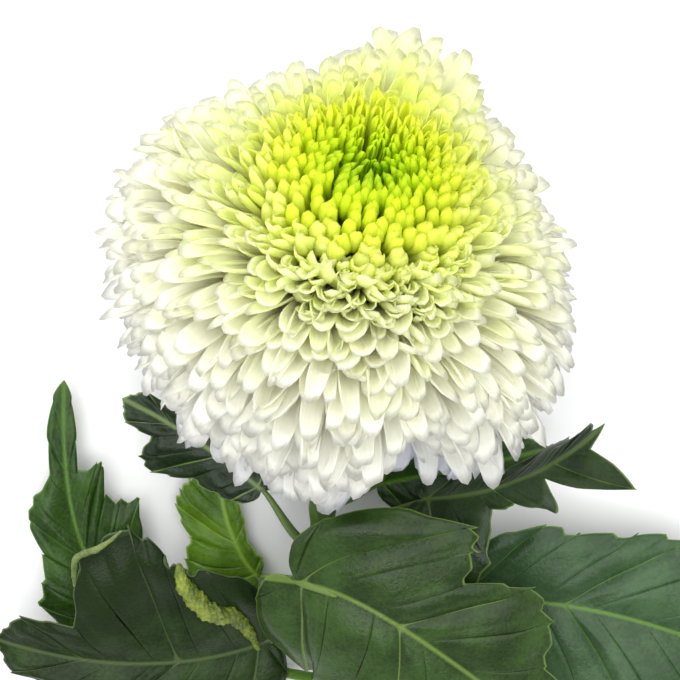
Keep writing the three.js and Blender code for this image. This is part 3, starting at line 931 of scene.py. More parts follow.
def ring_faces(rings: int, sides: int, inward: bool = False) -> Faces:
    """The faces of a closed stack of rings, whose two end points come last.

    Args:
        rings: how many rings there are.
        sides: how many points each ring has.
        inward: whether the rings run round the other way.

    Returns:
        The faces.
    """
    steps = [(j, (j + 1) % sides) for j in range(sides)]
    faces = [(i * sides + j, i * sides + k, (i + 1) * sides + k, (i + 1) * sides + j)
             for i in range(rings - 1) for j, k in steps]
    first_end, last = rings * sides, (rings - 1) * sides
    for j, k in steps:
        faces += [(first_end, k, j), (first_end + 1, last + j, last + k)]
    return [(face[0], *face[:0:-1]) for face in faces] if inward else faces


def tube(path: np.ndarray, radius: Callable[[np.ndarray, np.ndarray], np.ndarray],
         sides: int) -> tuple[np.ndarray, Faces]:
    """A closed tube along a path.

    Args:
        path: the places along its middle.
        radius: the radius for each share of the length and each angle.
        sides: how many sides it has.

    Returns:
        The vertices and faces.
    """
    tangents = unit(np.gradient(path, axis=0))
    # The first ring starts away from a slanting direction that no path here follows.
    normal = unit(np.cross(tangents[0], [0.3, 0.2, 0.93]))
    normals = []
    for tangent in tangents:
        normal = unit(normal - tangent * (normal @ tangent))
        normals.append(normal)
    normals = np.array(normals)
    binormals = np.cross(tangents, normals)
    angles = np.linspace(0, 2 * math.pi, sides, endpoint=False)
    r = radius(np.linspace(0, 1, len(path))[:, None], angles[None, :])
    rings = (path[:, None] + normals[:, None] * (r * np.cos(angles))[..., None]
             + binormals[:, None] * (r * np.sin(angles))[..., None])
    return np.vstack([rings.reshape(-1, 3), path[:1], path[-1:]]), ring_faces(len(path), sides)


# ------------------------------------------------------------------ the head


@dataclass(frozen=True)
class Stray:
    """How far the florets stray from their rule.

    A pair gives the amount in the tight eye and how much is added where the florets are loose.
    """

    polar: Pair = (0.5, 1.5)
    azimuth: float = 1.8
    reach: Pair = (0.5, 1.2)
    reach_limits: Pair = (-2.5, 1.1)
    tuft_reach: Pair = (0.3, 2.7)
    lean: Pair = (5.0, 5.0)
    tuft_lean: float = 2.0
    sideways: Pair = (0.05, 0.17)
    width: Pair = (0.05, 0.10)
    cup: float = 0.28
    twist: Pair = (0.08, 0.42)
    lift: float = 0.3
    notch: Pair = (0.006, 0.012)
    wave: float = 0.05
    hood: float = 0.6


@dataclass
class Bloom:
    """The dense head of ray florets, from the tight green eye to the hanging outer ones.

    The lists of pairs give a value at degrees away from the eye.
    """

    head: HeadFrame
    stray: Stray = Stray()
    seed: int = 4671
    last_polar: float = 150.0
    # Where the three pieces meet, and where the florets start to be loose, in degrees from the eye.
    eye_end: float = 38.0
    shoulder_end: float = 72.0
    loose_start: float = 22.0
    loose_span: float = 30.0
    root_radius: float = 25.0
    thickness: float = 0.55
    # The square millimetres of the outline that each floret has to itself.
    cell: Keys = ((0, 4.5), (12, 6.5), (22, 11), (32, 16), (38, 17), (46, 17), (55, 22), (65, 25), (90, 27),
                  (120, 32), (150, 48))
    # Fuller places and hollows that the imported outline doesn't have.
    shaping: tuple[Bulge, ...] = (
        Bulge(-4, 300, 30, 120, 28), Bulge(-40, 15.5, 10, 134, 34), Bulge(5, 52, 16, 118, 30),
        Bulge(-3, 335, 8, 130, 26), Bulge(-2, 95, 24, 95, 30), Bulge(-4, 272, 16, 95, 26),
        Bulge(2, 235, 30, 75, 30), Bulge(1.5, 178, 16, 55, 25), Bulge(3, 0, 45, 49, 8))
    # The tuft of extra florets under the eye, on the side that faces down the stalk.
    tuft_count: int = 84
    tuft_spread: float = 34.0
    tuft_polar: Pair = (39.0, 21.0)
    # The ragged florets stand round this ring on the side that faces down the stalk. Their shares
    # change the width, the cup, the taper and the notch.
    ragged_polar: float = 47.0
    ragged_spread: float = 7.0
    ragged_form: tuple[float, float, float, float] = (-0.15, 0.25, -0.6, 0.06)
    # A floret's root stands at this share of its angle from the eye and starts off leaning to the eye.
    root_pull: float = 0.96
    root_lean: float = 0.12
    # The lengths of its curve's two handles, as shares of the way from root to tip.
    handles: Pair = (0.45, 0.42)
    # Lime on the tips as amount, ring and spread: on all of them, and on some by chance.
    lime_ring: Triple = (0.25, 42.0, 14.0)
    lime_chance: Triple = (0.5, 58.0, 18.0)
    tip_depth: float = 2.6
    droop: float = 0.3
    lean_front: Keys = (
        (0, -64), (14, -54), (24, -42), (34, -28), (40, -14), (46, 4), (54, 26), (64, 42), (80, 52),
        (100, 58), (132, 60), (150, 50))
    lean_behind: Keys = (
        (0, -64), (14, -50), (24, -34), (34, -12), (44, 6), (54, 16), (80, 28), (110, 38), (150, 46))
    lean_tuft: Keys = ((39, -24), (52, 10), (60, 30))
    half_width: Keys = (
        (0, 1.9), (10, 2.7), (20, 3.9), (30, 4.7), (40, 4.5), (55, 3.8), (90, 3.8), (150, 4.2))
    cup_root: Keys = ((0, 2.9), (30, 2.8), (42, 2.0), (60, 1.4), (150, 1.2))
    cup_tip: Keys = (
        (0, 2.7), (20, 2.8), (30, 2.6), (37, 2.2), (44, 1.6), (60, 1.25), (90, 1.2), (120, 1.0), (150, 0.9))
    cup_limits: Pair = (0.5, 2.9)
    taper: Keys = ((0, 0.98), (30, 0.98), (38, 0.95), (45, 0.4), (60, 0.3), (150, 0.35))
    bluntness: Keys = ((0, 6.0), (34, 6.5), (46, 2.8), (150, 2.4))
    rounding: Keys = ((0, 0.1), (34, 0.2), (44, 0.8), (150, 1.0))
    lift: Keys = ((0, 0.3), (32, 0.35), (45, 0.4), (60, 0.6), (150, 0.6))
    hood: Keys = ((0, 0.0), (36, 0.1), (50, 0.4), (150, 0.4))

    def polars(self) -> np.ndarray:
        """How far from the eye each floret stands, in degrees, packed evenly by its size."""
        theta = np.linspace(0.5, self.last_polar, 2400)
        reach = self.head.envelope(theta, np.full_like(theta, 60.0))
        ring = 2 * math.pi * reach**2 * np.sin(np.radians(theta)) * np.radians(theta[1] - theta[0])
        counted = np.cumsum(ring / keyed(self.cell, theta))
        return np.interp(np.arange(int(counted[-1])) + 0.5, counted, theta)

    def stands(self) -> tuple[np.ndarray, np.ndarray, np.ndarray]:
        """Where the florets stand by the rule, those of the tuft last.

        Returns:
            Degrees from the eye, degrees round the axis, and which ones are the tuft's.
        """
        polar = self.polars()
        azimuth = np.degrees(np.arange(len(polar)) * GOLDEN_ANGLE) % 360
        tuft = np.arange(self.tuft_count)
        start, span = self.tuft_polar
        tuft_azimuth = self.tuft_spread * (2 * (tuft + 0.5) / self.tuft_count - 1)
        polar = np.concatenate([polar, start + span * ((tuft * 0.618) % 1)])
        azimuth = np.concatenate([azimuth, tuft_azimuth % 360])
        return polar, azimuth, np.arange(len(polar)) >= len(polar) - self.tuft_count

    def straps(self) -> Straps:
        """The curves and forms of all the florets.

        Returns:
            The straps, from the eye outwards.
        """
        rng = np.random.default_rng(self.seed)
        stray = self.stray
        polar, azimuth, extra = self.stands()
        count = len(polar)
        loose = smooth((polar - self.loose_start) / self.loose_span)

        def looser(pair: Pair) -> np.ndarray:
            """An amount that grows from the eye to the loose florets."""
            return pair[0] + pair[1] * loose

        polar = polar + rng.normal(0, stray.polar[0], count) + loose * rng.normal(0, stray.polar[1], count)
        polar = np.clip(polar, 0.3, self.last_polar)
        azimuth = azimuth + rng.normal(0, stray.azimuth, count) / np.maximum(np.sin(np.radians(polar)), 0.3)
        reach = self.head.envelope(polar, azimuth % 360) + hump(self.shaping, polar, azimuth % 360)
        reach += looser(stray.reach) * np.clip(rng.normal(0, 1, count), *stray.reach_limits)
        reach -= self.tip_depth * loose
        reach -= extra * (stray.tuft_reach[0] + stray.tuft_reach[1] * rng.random(count))
        front = 0.5 + 0.5 * np.cos(np.radians(azimuth))
        lean = front * keyed(self.lean_front, polar) + (1 - front) * keyed(self.lean_behind, polar)
        lean = np.where(extra, keyed(self.lean_tuft, polar), lean)
        lean = np.radians(lean + rng.normal(0, looser(stray.lean) + stray.tuft_lean * extra, count))

        out, back = self.head.outward(polar, azimuth)
        root_out, _ = self.head.outward(polar * self.root_pull, azimuth)
        across = np.cross(back, out)
        tip = out * reach[:, None]
        root = root_out * self.root_radius
        chord = np.linalg.norm(tip - root, axis=1)[:, None]
        heading = out * np.cos(lean)[:, None] + back * np.sin(lean)[:, None]
        sideways = looser(stray.sideways) * rng.normal(0, 1, count)
        heading = unit(heading + across * sideways[:, None])
        sag = self.droop * smooth((polar - 55) / 30) * np.abs(np.sin(np.radians(azimuth)))
        heading = unit(heading + sag[:, None] * np.array([1.0, 0.0, -0.4]))
        start = unit(root_out - back * self.root_lean)
        first, last = self.handles
        spine = np.stack([root, root + start * chord * first, tip - heading * chord * last, tip], axis=1)

        ragged = np.exp(-(((polar - self.ragged_polar) / self.ragged_spread) ** 2)) * front**2
        half = keyed(self.half_width, polar) * (1 + rng.normal(0, looser(stray.width), count))
        slimmer, more_cup, less_taper, more_notch = (share * ragged for share in self.ragged_form)
        half *= 1 + slimmer
        cup = keyed(self.cup_tip, polar) * (1 + loose * rng.normal(0, stray.cup, count)) + more_cup
        twist = looser(stray.twist) * rng.normal(0, 1, count)
        roll = np.stack([keyed(self.cup_root, polar), np.clip(cup, *self.cup_limits), twist], axis=1)
        lift = keyed(self.lift, polar) + loose * rng.normal(0, stray.lift, count)
        tips = np.stack([0.45 + 0.2 * loose, keyed(self.taper, polar) * (1 + less_taper), lift], axis=1)
        notch = loose * (stray.notch[0] + stray.notch[1] * rng.random(count)) + more_notch
        edge = np.stack([notch, loose * rng.normal(0, stray.wave, count), rng.random(count) * 6.28], axis=1)
        hood = keyed(self.hood, polar) * (1 + rng.normal(0, stray.hood, count))
        end = np.stack([keyed(self.rounding, polar), keyed(self.bluntness, polar), hood], axis=1)
        lime, sometimes = (amount * np.exp(-(((polar - ring) / spread) ** 2))
                           for amount, ring, spread in (self.lime_ring, self.lime_chance))
        lime = lime + sometimes * rng.random(count) ** 3
        tint = np.stack([polar / self.last_polar, rng.random(count), lime], axis=1)
        size = np.stack([half, chord[:, 0] * 1.1, np.full(count, self.thickness)], axis=1) * METRE
        spots = to_part(self.head.place(spine.reshape(-1, 3))).reshape(-1, 4, 3)
        return Straps(spots, self.head.turn(across), size, roll, tips, edge, end, tint)

    def core(self, finish: Material, rows: int = 24, sides: int = 40) -> Object:
        """The receptacle in the middle, which the florets hide.

        Args:
            finish: its material.
            rows: how many bands it has from pole to pole.
            sides: how many sides each ring has.

        Returns:
            The piece.
        """
        p, a = np.meshgrid(np.linspace(0, 180, rows + 1)[1:-1], np.linspace(0, 360, sides, endpoint=False),
                           indexing="ij")
        out, _ = self.head.outward(p, a)
        pole = self.root_radius + 1.0
        shell = out * (pole + 0.4 * np.sin(9 * np.radians(a)) * np.sin(np.radians(p)))[..., None]
        shell[..., 2] = np.maximum(shell[..., 2], -self.head.cup_seat)
        ends = np.array([[0, 0, pole], [0, 0, -self.head.cup_seat]])
        vertices = self.head.place(np.vstack([shell.reshape(-1, 3), ends]))
        return new_piece("receptacle", vertices, ring_faces(rows - 1, sides, inward=True), finish)

    def build(self, tree: NodeTree, petal: Material, core: Material) -> None:
        """Makes the head's pieces.

        Args:
            tree: the strap tree.
            petal: the floret material.
            core: the receptacle's material.
        """
        straps = self.straps()
        ring = straps.tint[:, 0] * self.last_polar
        zones = {"florets_eye": ring < self.eye_end,
                 "florets_shoulder": (ring >= self.eye_end) & (ring < self.shoulder_end),
                 "florets_outer": ring >= self.shoulder_end}
        for name, chosen in zones.items():
            LOG.info("%s: %d florets", name, int(chosen.sum()))
            hand_over(straps.take(chosen).make(name, tree, petal), "bloom")
        hand_over(self.core(core), "bloom")


# ------------------------------------------------------------------ the cup under the head


@dataclass
class Calyx:
    """The green cup under the head with its overlapping scales."""

    head: HeadFrame
    radius: float = 15.0
    length: float = 14.0
    neck: float = 2.9
    gap: float = 0.3
    # Scales start and end within these depths below the cup's rim.
    scale_depths: Pair = (-2.5, 13.2)
    seed: int = 77
    # Half a scale's width, and how much a scale may be wider by chance.
    scale_width: Pair = (2.7, 0.3)
    scale_thickness: float = 0.5
    # Down a scale's curve from root to tip: its places as shares of the length, and how far it stands off.
    scale_steps: tuple[float, ...] = (0.4, 0.128, -0.136, -0.4)
    scale_lifts: tuple[float, ...] = (-0.4, 0.3, 0.7, 1.1)
    # Its cup at root and tip and its twist; its claw, taper and lift; its rounding, bluntness and hood.
    scale_roll: Triple = (0.5, 0.35, 0.0)
    scale_tip: Triple = (0.8, 0.82, 0.0)
    scale_end: Triple = (0.85, 2.4, 0.0)
    # Each row of scales: how far down the cup its middle is, its scales' length and how many there are.
    rows: tuple[tuple[float, float, int], ...] = (
        (2.5, 9.5, 13), (5.0, 9.0, 12), (8.0, 8.0, 10), (10.8, 6.5, 8))

    def top(self) -> float:
        """How far below the head's middle the cup's rim lies."""
        return self.head.cup_seat + self.gap

    def profile(self) -> np.ndarray:
        """The cup's side: radius and depth below the seat, rim to neck."""
        keys = np.array([[self.radius - 1, 0], [self.radius, 1.6], [self.radius - 1.5, 5], [9.5, 9],
                         [5.2, 12.4], [self.neck + 0.5, self.length]])
        return catmull_rom(np.column_stack([keys, np.zeros(len(keys))]), 24)[:, :2]

    def cup(self, finish: Material, sides: int = 48) -> Object:
        """The smooth cup itself.

        Args:
            finish: its material.
            sides: how many sides it has.

        Returns:
            The cup.
        """
        profile = self.profile()
        angles = np.linspace(0, 2 * math.pi, sides, endpoint=False)
        rings = [np.stack([r * np.cos(angles), r * np.sin(angles), np.full(sides, -self.top() - d)], axis=1)
                 for r, d in profile]
        ends = np.array([[0, 0, -self.top()], [0, 0, -self.top() - self.length]])
        vertices = self.head.place(np.vstack([*rings, ends]))
        return new_piece("cup", vertices, ring_faces(len(profile), sides, inward=True), finish)

    def scales(self) -> Straps:
        """The cup's scales.

        Returns:
            One strap a scale.
        """
        rng = np.random.default_rng(self.seed)
        profile = self.profile()
        carried: list[tuple] = []
        for row, (down, length, count) in enumerate(self.rows):
            for index in range(count):
                angle = 2 * math.pi * (index + 0.5 * (row % 2) + 0.12 * rng.normal()) / count
                radial = np.array([math.cos(angle), math.sin(angle), 0.0])
                depths = np.clip(down + np.array(self.scale_steps) * length, *self.scale_depths)
                radii = np.interp(depths, profile[:, 1], profile[:, 0])
                lifts = np.array(self.scale_lifts) + np.array([0, 0, 0, 0.5 * rng.random()])
                spine = [radial * (r + lift) + np.array([0, 0, -self.top() - d])
                         for r, d, lift in zip(radii, depths, lifts)]
                across = (-math.sin(angle), math.cos(angle), 0.0)
                least, more = self.scale_width
                size = (least + more * rng.random(), length, self.scale_thickness)
                edge = (0.0, 0.03, rng.random() * 6)
                tint = (row / 3, rng.random(), 0.0)
                carried.append((spine, across, size, self.scale_roll, self.scale_tip, edge, self.scale_end,
                                tint))
        spines, sides, sizes, *forms = (np.array(values) for values in zip(*carried))
        spines = to_part(self.head.place(spines.reshape(-1, 3))).reshape(-1, 4, 3)
        return Straps(spines, self.head.turn(-sides), sizes * METRE, *forms, columns=6, rows=8)

    def build(self, tree: NodeTree, cup: Material, scale: Material) -> None:
        """Makes the cup and its scales.

        Args:
            tree: the strap tree.
            cup: the cup's material.
            scale: the scales' material.
        """
        hand_over(self.cup(cup), "calyx")
        hand_over(self.scales().make("cup_scales", tree, scale), "calyx")


# ------------------------------------------------------------------ the stalk


@dataclass
class Stalk:
    """The bent, ribbed stalk from the cup to its cut end."""

    head: HeadFrame
    calyx: Calyx
    radius: float = 3.4
    neck: float = 2.9
    ribs: int = 9
    rib_depth: float = 0.16
    swelling: float = 0.6
    joint_reach: float = 3.0
    route: tuple[Triple, ...] = (
        (-8, -54, 20.5), (-8, -76, 16.5), (-7.5, -105, 13), (-6.5, -140, 9.3), (-5, -176, 5.5),
        (-4.2, -200, 3.42))
    stations: tuple[float, ...] = (-88, -108, -124, -84, -97, -80, -114, -70)

    def path(self, samples: int) -> np.ndarray:
        """Places along the stalk's middle."""
        top = self.head.place(np.array([0.0, 0.0, -self.calyx.top() - self.calyx.length - self.calyx.gap]))
        return catmull_rom(np.vstack([top, top - 9 * self.head.axis, self.route]), samples)

    def at(self, station: float) -> np.ndarray:
        """The stalk's middle at a distance along -Y."""
        path = self.path(400)
        return path[np.argmin(np.abs(path[:, 1] - station))]

    def build(self, finish: Material) -> None:
        """Makes the stalk, with a swelling where each leaf springs from it.

        Args:
            finish: its material.
        """
        path = self.path(260)
        stations = np.array(self.stations)

        def radius(share: np.ndarray, angle: np.ndarray) -> np.ndarray:
            """The ribbed radius at shares of the length and angles."""
            y = np.interp(share[:, 0], np.linspace(0, 1, len(path)), path[:, 1])[:, None]
            swelling = np.exp(-(((y - stations) / self.joint_reach) ** 2)).sum(axis=1, keepdims=True)
            plain = self.neck + (self.radius - self.neck) * smooth(3 * share)
            rib = self.rib_depth * np.abs(np.cos(0.5 * self.ribs * angle + 2.5 * share)) ** 0.7
            return plain - self.rib_depth + rib + self.swelling * np.minimum(1, swelling)

        hand_over(new_piece("stalk", *tube(path, radius, 72), finish), "stem")


# ------------------------------------------------------------------ the leaves


@dataclass(frozen=True)
class Half:
    """One half of a blade: how wide its foot, middle and tip lobes are, and how it lies."""

    width: Triple
    sweep: Triple
    fold: float
    droop: float
    wave: float
    phase: float
    sinus: Triple = (0.2, 0.2, 0.2)


@dataclass
class Leaf:
    """One lobed leaf with its stalk.

    The half outline is a fan of side veins off the midrib; `at` runs round it from foot to tip.
    """

    name: str
    station: float
    bend: tuple[Triple, ...]
    midrib: tuple[Triple, ...]
    faces: tuple[Triple, Triple]
    left: Half
    right: Half
    finish: LeafFinish
    rows: int = 150
    columns: int = 18
    crowding: float = 0.9
    thickness: float = 0.5
    teeth: int = 19
    tooth_depth: float = 0.06
    tooth_height: float = 1.35
    # The share of a tooth's width along which its long side rises, and of the way out where teeth start.
    tooth_rise: float = 0.72
    tooth_start: float = 0.55
    # Where, on the way round, the tip takes over from the lobes.
    tip_start: float = 0.8
    # The usual half breadth of a blade, as a share of its length.
    half_breadth: float = 0.4
    pucker: float = 1.5
    rumple: float = 1.7
    # How high the small cushions between side veins are, as a share of the pucker.
    quilt: float = 0.07
    # How far from a main vein and a side vein the blade has risen.
    vein_reach: float = 4.5
    side_reach: float = 1.2
    least_pitch: float = 14.0
    table_clearance: float = 0.6
    petiole_radius: float = 1.5
    outline: tuple[tuple[float, float, float, float], ...] = (
        (0.0, 0.0, 150, 0.05), (0.08, 0.0, 112, 0.2), (0.2, 0.02, 74, 0.46), (0.3, 0.1, 60, 0.42),
        (0.4, 0.24, 55, 0.2), (0.52, 0.32, 44, 0.47), (0.62, 0.4, 38, 0.45), (0.72, 0.56, 36, 0.2),
        (0.84, 0.66, 25, 0.3), (0.92, 0.78, 14, 0.2), (1.0, 0.9, 0, 0.1))
    sinus_rows: tuple[int, int, int] = (4, 7, 9)
    main_veins: tuple[float, ...] = (0.2, 0.52, 0.84)
    petiole_map: Triple = (0.5, 0.0, 0.0)
    petiole_lines: Triple = (0.0, 4.0, 20.0)

    def curve(self) -> tuple[np.ndarray, np.ndarray, float]:
        """The midrib's places and directions at even shares of its length, and that length."""
        p = np.array(self.midrib, float)
        t = np.linspace(0, 1, 401)[:, None]
        s = 1 - t
        dense = s**3 * p[0] + 3 * s * s * t * p[1] + 3 * s * t * t * p[2] + t**3 * p[3]
        slope = s * s * (p[1] - p[0]) + 2 * s * t * (p[2] - p[1]) + t * t * (p[3] - p[2])
        run = run_along(dense)
        even = np.linspace(0, run[-1], len(dense))
        return read_rows(even, run, dense), unit(read_rows(even, run, slope)), float(run[-1])

    def midrib_frame(self, share: np.ndarray) -> tuple[np.ndarray, np.ndarray, np.ndarray, float]:
        """The midrib's place, left and up at shares of its length.

        Args:
            share: the shares, which may run past either end.

        Returns:
            The places, the directions to the left and up, and the whole length.
        """
        place, heading, length = self.curve()
        inside = np.clip(share, 0, 1)
        knots = np.linspace(0, 1, len(place))
        along = read_rows(inside, knots, heading)
        point = read_rows(inside, knots, place) + along * ((share - inside) * length)[..., None]
        foot, tip = (np.array(face, float) for face in self.faces)
        left = unit(np.cross(foot + (tip - foot) * inside[..., None], along))
        return point, left, np.cross(along, left), length

    def outline_at(self, half: Half, at: np.ndarray) -> tuple[np.ndarray, np.ndarray, np.ndarray]:
        """The side vein's origin, angle and reach at shares of the way round the half outline."""
        keys = np.array(self.outline)
        keys[list(self.sinus_rows), 3] = half.sinus
        index = np.clip(np.searchsorted(keys[:, 0], at - 1e-9), 1, len(keys) - 1)
        low, high = keys[index - 1], keys[index]
        share = smooth((at - low[..., 0]) / (high[..., 0] - low[..., 0]))
        origin, angle, reach = (low[..., k] + (high[..., k] - low[..., k]) * share for k in (1, 2, 3))
        return origin, np.radians(angle), reach

    def half_blade(self, half: Half, side: int) -> dict[str, np.ndarray]:
        """The middle surface of one half.

        Args:
            half: its sizes.
            side: 1 on the left, -1 on the right.

        Returns:
            Places, upward normals and the lines that the finish reads, as grids.
        """
        rows = np.unique(np.concatenate([np.linspace(0, 1, self.rows + 1), self.main_veins]))
        at, v = np.meshgrid(rows, np.linspace(0, 1, self.columns + 1) ** self.crowding, indexing="ij")
        origin, angle, reach = self.outline_at(half, at)
        near_tip = smooth((at - self.tip_start) / (1 - self.tip_start))
        saw = (at * self.teeth) % 1.0
        saw = np.minimum(saw / self.tooth_rise, (1 - saw) / (1 - self.tooth_rise))
        outer = smooth((v - self.tooth_start) / (1 - self.tooth_start))
        toothed = 1 - self.tooth_depth * (self.tooth_height - saw) * (1 - 0.6 * near_tip) * outer
        width = np.interp(at, self.main_veins, half.width)
        long = reach * (width + (1 - width) * near_tip) * v * toothed
        angle = angle * np.interp(at, self.main_veins, half.sweep)
        length = self.curve()[2]
        out = long * np.sin(angle) * length
        point, left, up, _ = self.midrib_frame(origin + long * np.cos(angle))

        # How far off the veins each place lies, in millimetres.
        span = np.maximum(long * length, 1e-6)
        turned, moved = (np.abs(np.gradient(values, rows, axis=0)) for values in (angle, origin))
        pitch = np.maximum(turned * span + moved * length, self.least_pitch)
        gap = np.min(np.abs(at[..., None] - np.array(self.main_veins)), axis=-1)
        vein = np.minimum(gap * pitch, out * 0.9)
        side_vein = np.abs((at * self.teeth + 0.5) % 1.0 - 0.5) / self.teeth * pitch
        margin = (1 - v) * span / np.maximum(v, 0.3)

        # How the blade is raised between the veins, rumpled and waved.
        spread = out / (self.half_breadth * length)
        tilt = np.radians(half.fold) - 0.5 * np.radians(half.droop) * spread
        raised = half.wave * spread * np.sin(9 * at + half.phase)
        raised += self.pucker * (1 - np.exp(-((vein / self.vein_reach) ** 2))) * smooth((1 - v) / 0.3)
        rumpled = np.sin(15 * at + 5 * v + 2 * half.phase) * np.sin(4 * v + half.phase)
        raised += self.rumple * spread * rumpled
        quilt = 1 - np.exp(-((side_vein / self.side_reach) ** 2))
        raised += self.quilt * self.pucker * quilt * smooth((1 - v) / 0.12) * smooth(out / 3)
        aside, risen = side * out * np.cos(tilt), out * np.sin(tilt) + raised
        middle = point + left * aside[..., None] + up * risen[..., None]
        middle[..., 2] = np.maximum(middle[..., 2], self.table_clearance)
        return {"at": at, "v": v, "middle": middle, "vein": vein, "side_vein": side_vein, "margin": margin,
                "up": np.broadcast_to(up, middle.shape)}

    def blade(self) -> tuple[np.ndarray, Faces, np.ndarray, np.ndarray]:
        """The closed blade.

        Returns:
            Vertices, faces, the surface map and the distances to the lines, one row a vertex.
        """
        vertices, maps, lines = [], [], []
        faces: Faces = []
        for side, half in ((1, self.left), (-1, self.right)):
            grid = self.half_blade(half, side)
            middle = grid["middle"]
            normal = unit(np.cross(*np.gradient(middle, axis=(0, 1))) * side + grid["up"] * 1e-4)
            normal[:, 0] = grid["up"][:, 0]
            normal[-1] = grid["up"][-1]
            thick = 0.5 * self.thickness * (1 - 0.6 * grid["v"] ** 4)
            n_rows, n_cols = grid["at"].shape
            top = sum(len(block) for block in vertices)
            low = top + n_rows * n_cols
            for face in (1, -1):
                vertices.append((middle + normal * (thick * face)[..., None]).reshape(-1, 3))
                below = np.full_like(grid["v"], face < 0)
                maps.append(np.stack([grid["at"], grid["v"] * side, below], -1).reshape(-1, 3))
                lines.append(np.stack([grid["vein"], grid["side_vein"], grid["margin"]], -1).reshape(-1, 3))
            corners = [i * n_cols + j for i in range(n_rows - 1) for j in range(n_cols - 1)]
            edge = [(i + 1) * n_cols - 1 for i in range(n_rows - 1)]
            quads = [(top + a, top + a + n_cols, top + a + n_cols + 1, top + a + 1) for a in corners]
            quads += [(low + a + 1, low + a + n_cols + 1, low + a + n_cols, low + a) for a in corners]
            quads += [(top + a, top + a + n_cols, low + a + n_cols, low + a) for a in edge]
            quads += [(top + j + 1, low + j + 1, low + j, top + j) for j in range(n_cols - 1)]
            faces += quads if side > 0 else [quad[::-1] for quad in quads]
        return np.vstack(vertices), faces, np.vstack(maps), np.vstack(lines)

    def petiole(self, stalk: Stalk) -> tuple[np.ndarray, Faces]:
        """The leaf stalk, which runs on under the blade as its midrib.

        Args:
            stalk: the stalk that it springs from.

        Returns:
            Vertices and faces.
        """
        point, _, up, _ = self.midrib_frame(np.array([0, 0.25, 0.5, 0.78, 0.95]))
        under = point - up * np.array([1.0, 0.9, 0.7, 0.5, 0.3])[:, None]
        under[:, 2] = np.maximum(under[:, 2], self.petiole_radius)
        path = catmull_rom(np.vstack([stalk.at(self.station), np.array(self.bend), under]), 90)

        def radius(share: np.ndarray, angle: np.ndarray) -> np.ndarray:
            """The faintly ribbed radius, which tapers towards the tip."""
            taper = self.petiole_radius * (1 - 0.8 * smooth(share * 1.6))
            return taper * (1 + 0.08 * np.cos(3 * angle) + 0.05 * np.cos(7 * angle + 9 * share))

        return tube(path, radius, 18)

    def build(self, stalk: Stalk, skin: NodeTree) -> Object:
        """Makes the leaf.

        Args:
            stalk: the stalk that it springs from.
            skin: the shared leaf group.

        Returns:
            The piece.
        """
        vertices, faces, maps, lines = self.blade()
        more, more_faces = self.petiole(stalk)
        faces += [tuple(len(vertices) + i for i in face) for face in more_faces]
        piece = new_piece(self.name + "_dressed", np.vstack([vertices, more]), faces, self.finish.make(skin))
        maps, lines = (np.vstack([rows, np.tile(plain, (len(more), 1))])
                       for rows, plain in ((maps, self.petiole_map), (lines, self.petiole_lines)))
        carry(piece.data, {"leaf_map": maps, "leaf_lines": lines})
        self.weld(piece)
        return hand_over(piece, self.name)

    def weld(self, piece: Object) -> None:
        """Joins the two halves along the midrib and closes what slips open there."""
        work = bmesh.new()
        work.from_mesh(piece.data)
        bmesh.ops.remove_doubles(work, verts=work.verts, dist=2e-6)
        bmesh.ops.dissolve_degenerate(work, edges=work.edges, dist=1e-6)
        bmesh.ops.holes_fill(work, edges=[edge for edge in work.edges if edge.is_boundary], sides=0)
        work.to_mesh(piece.data)
        work.free()


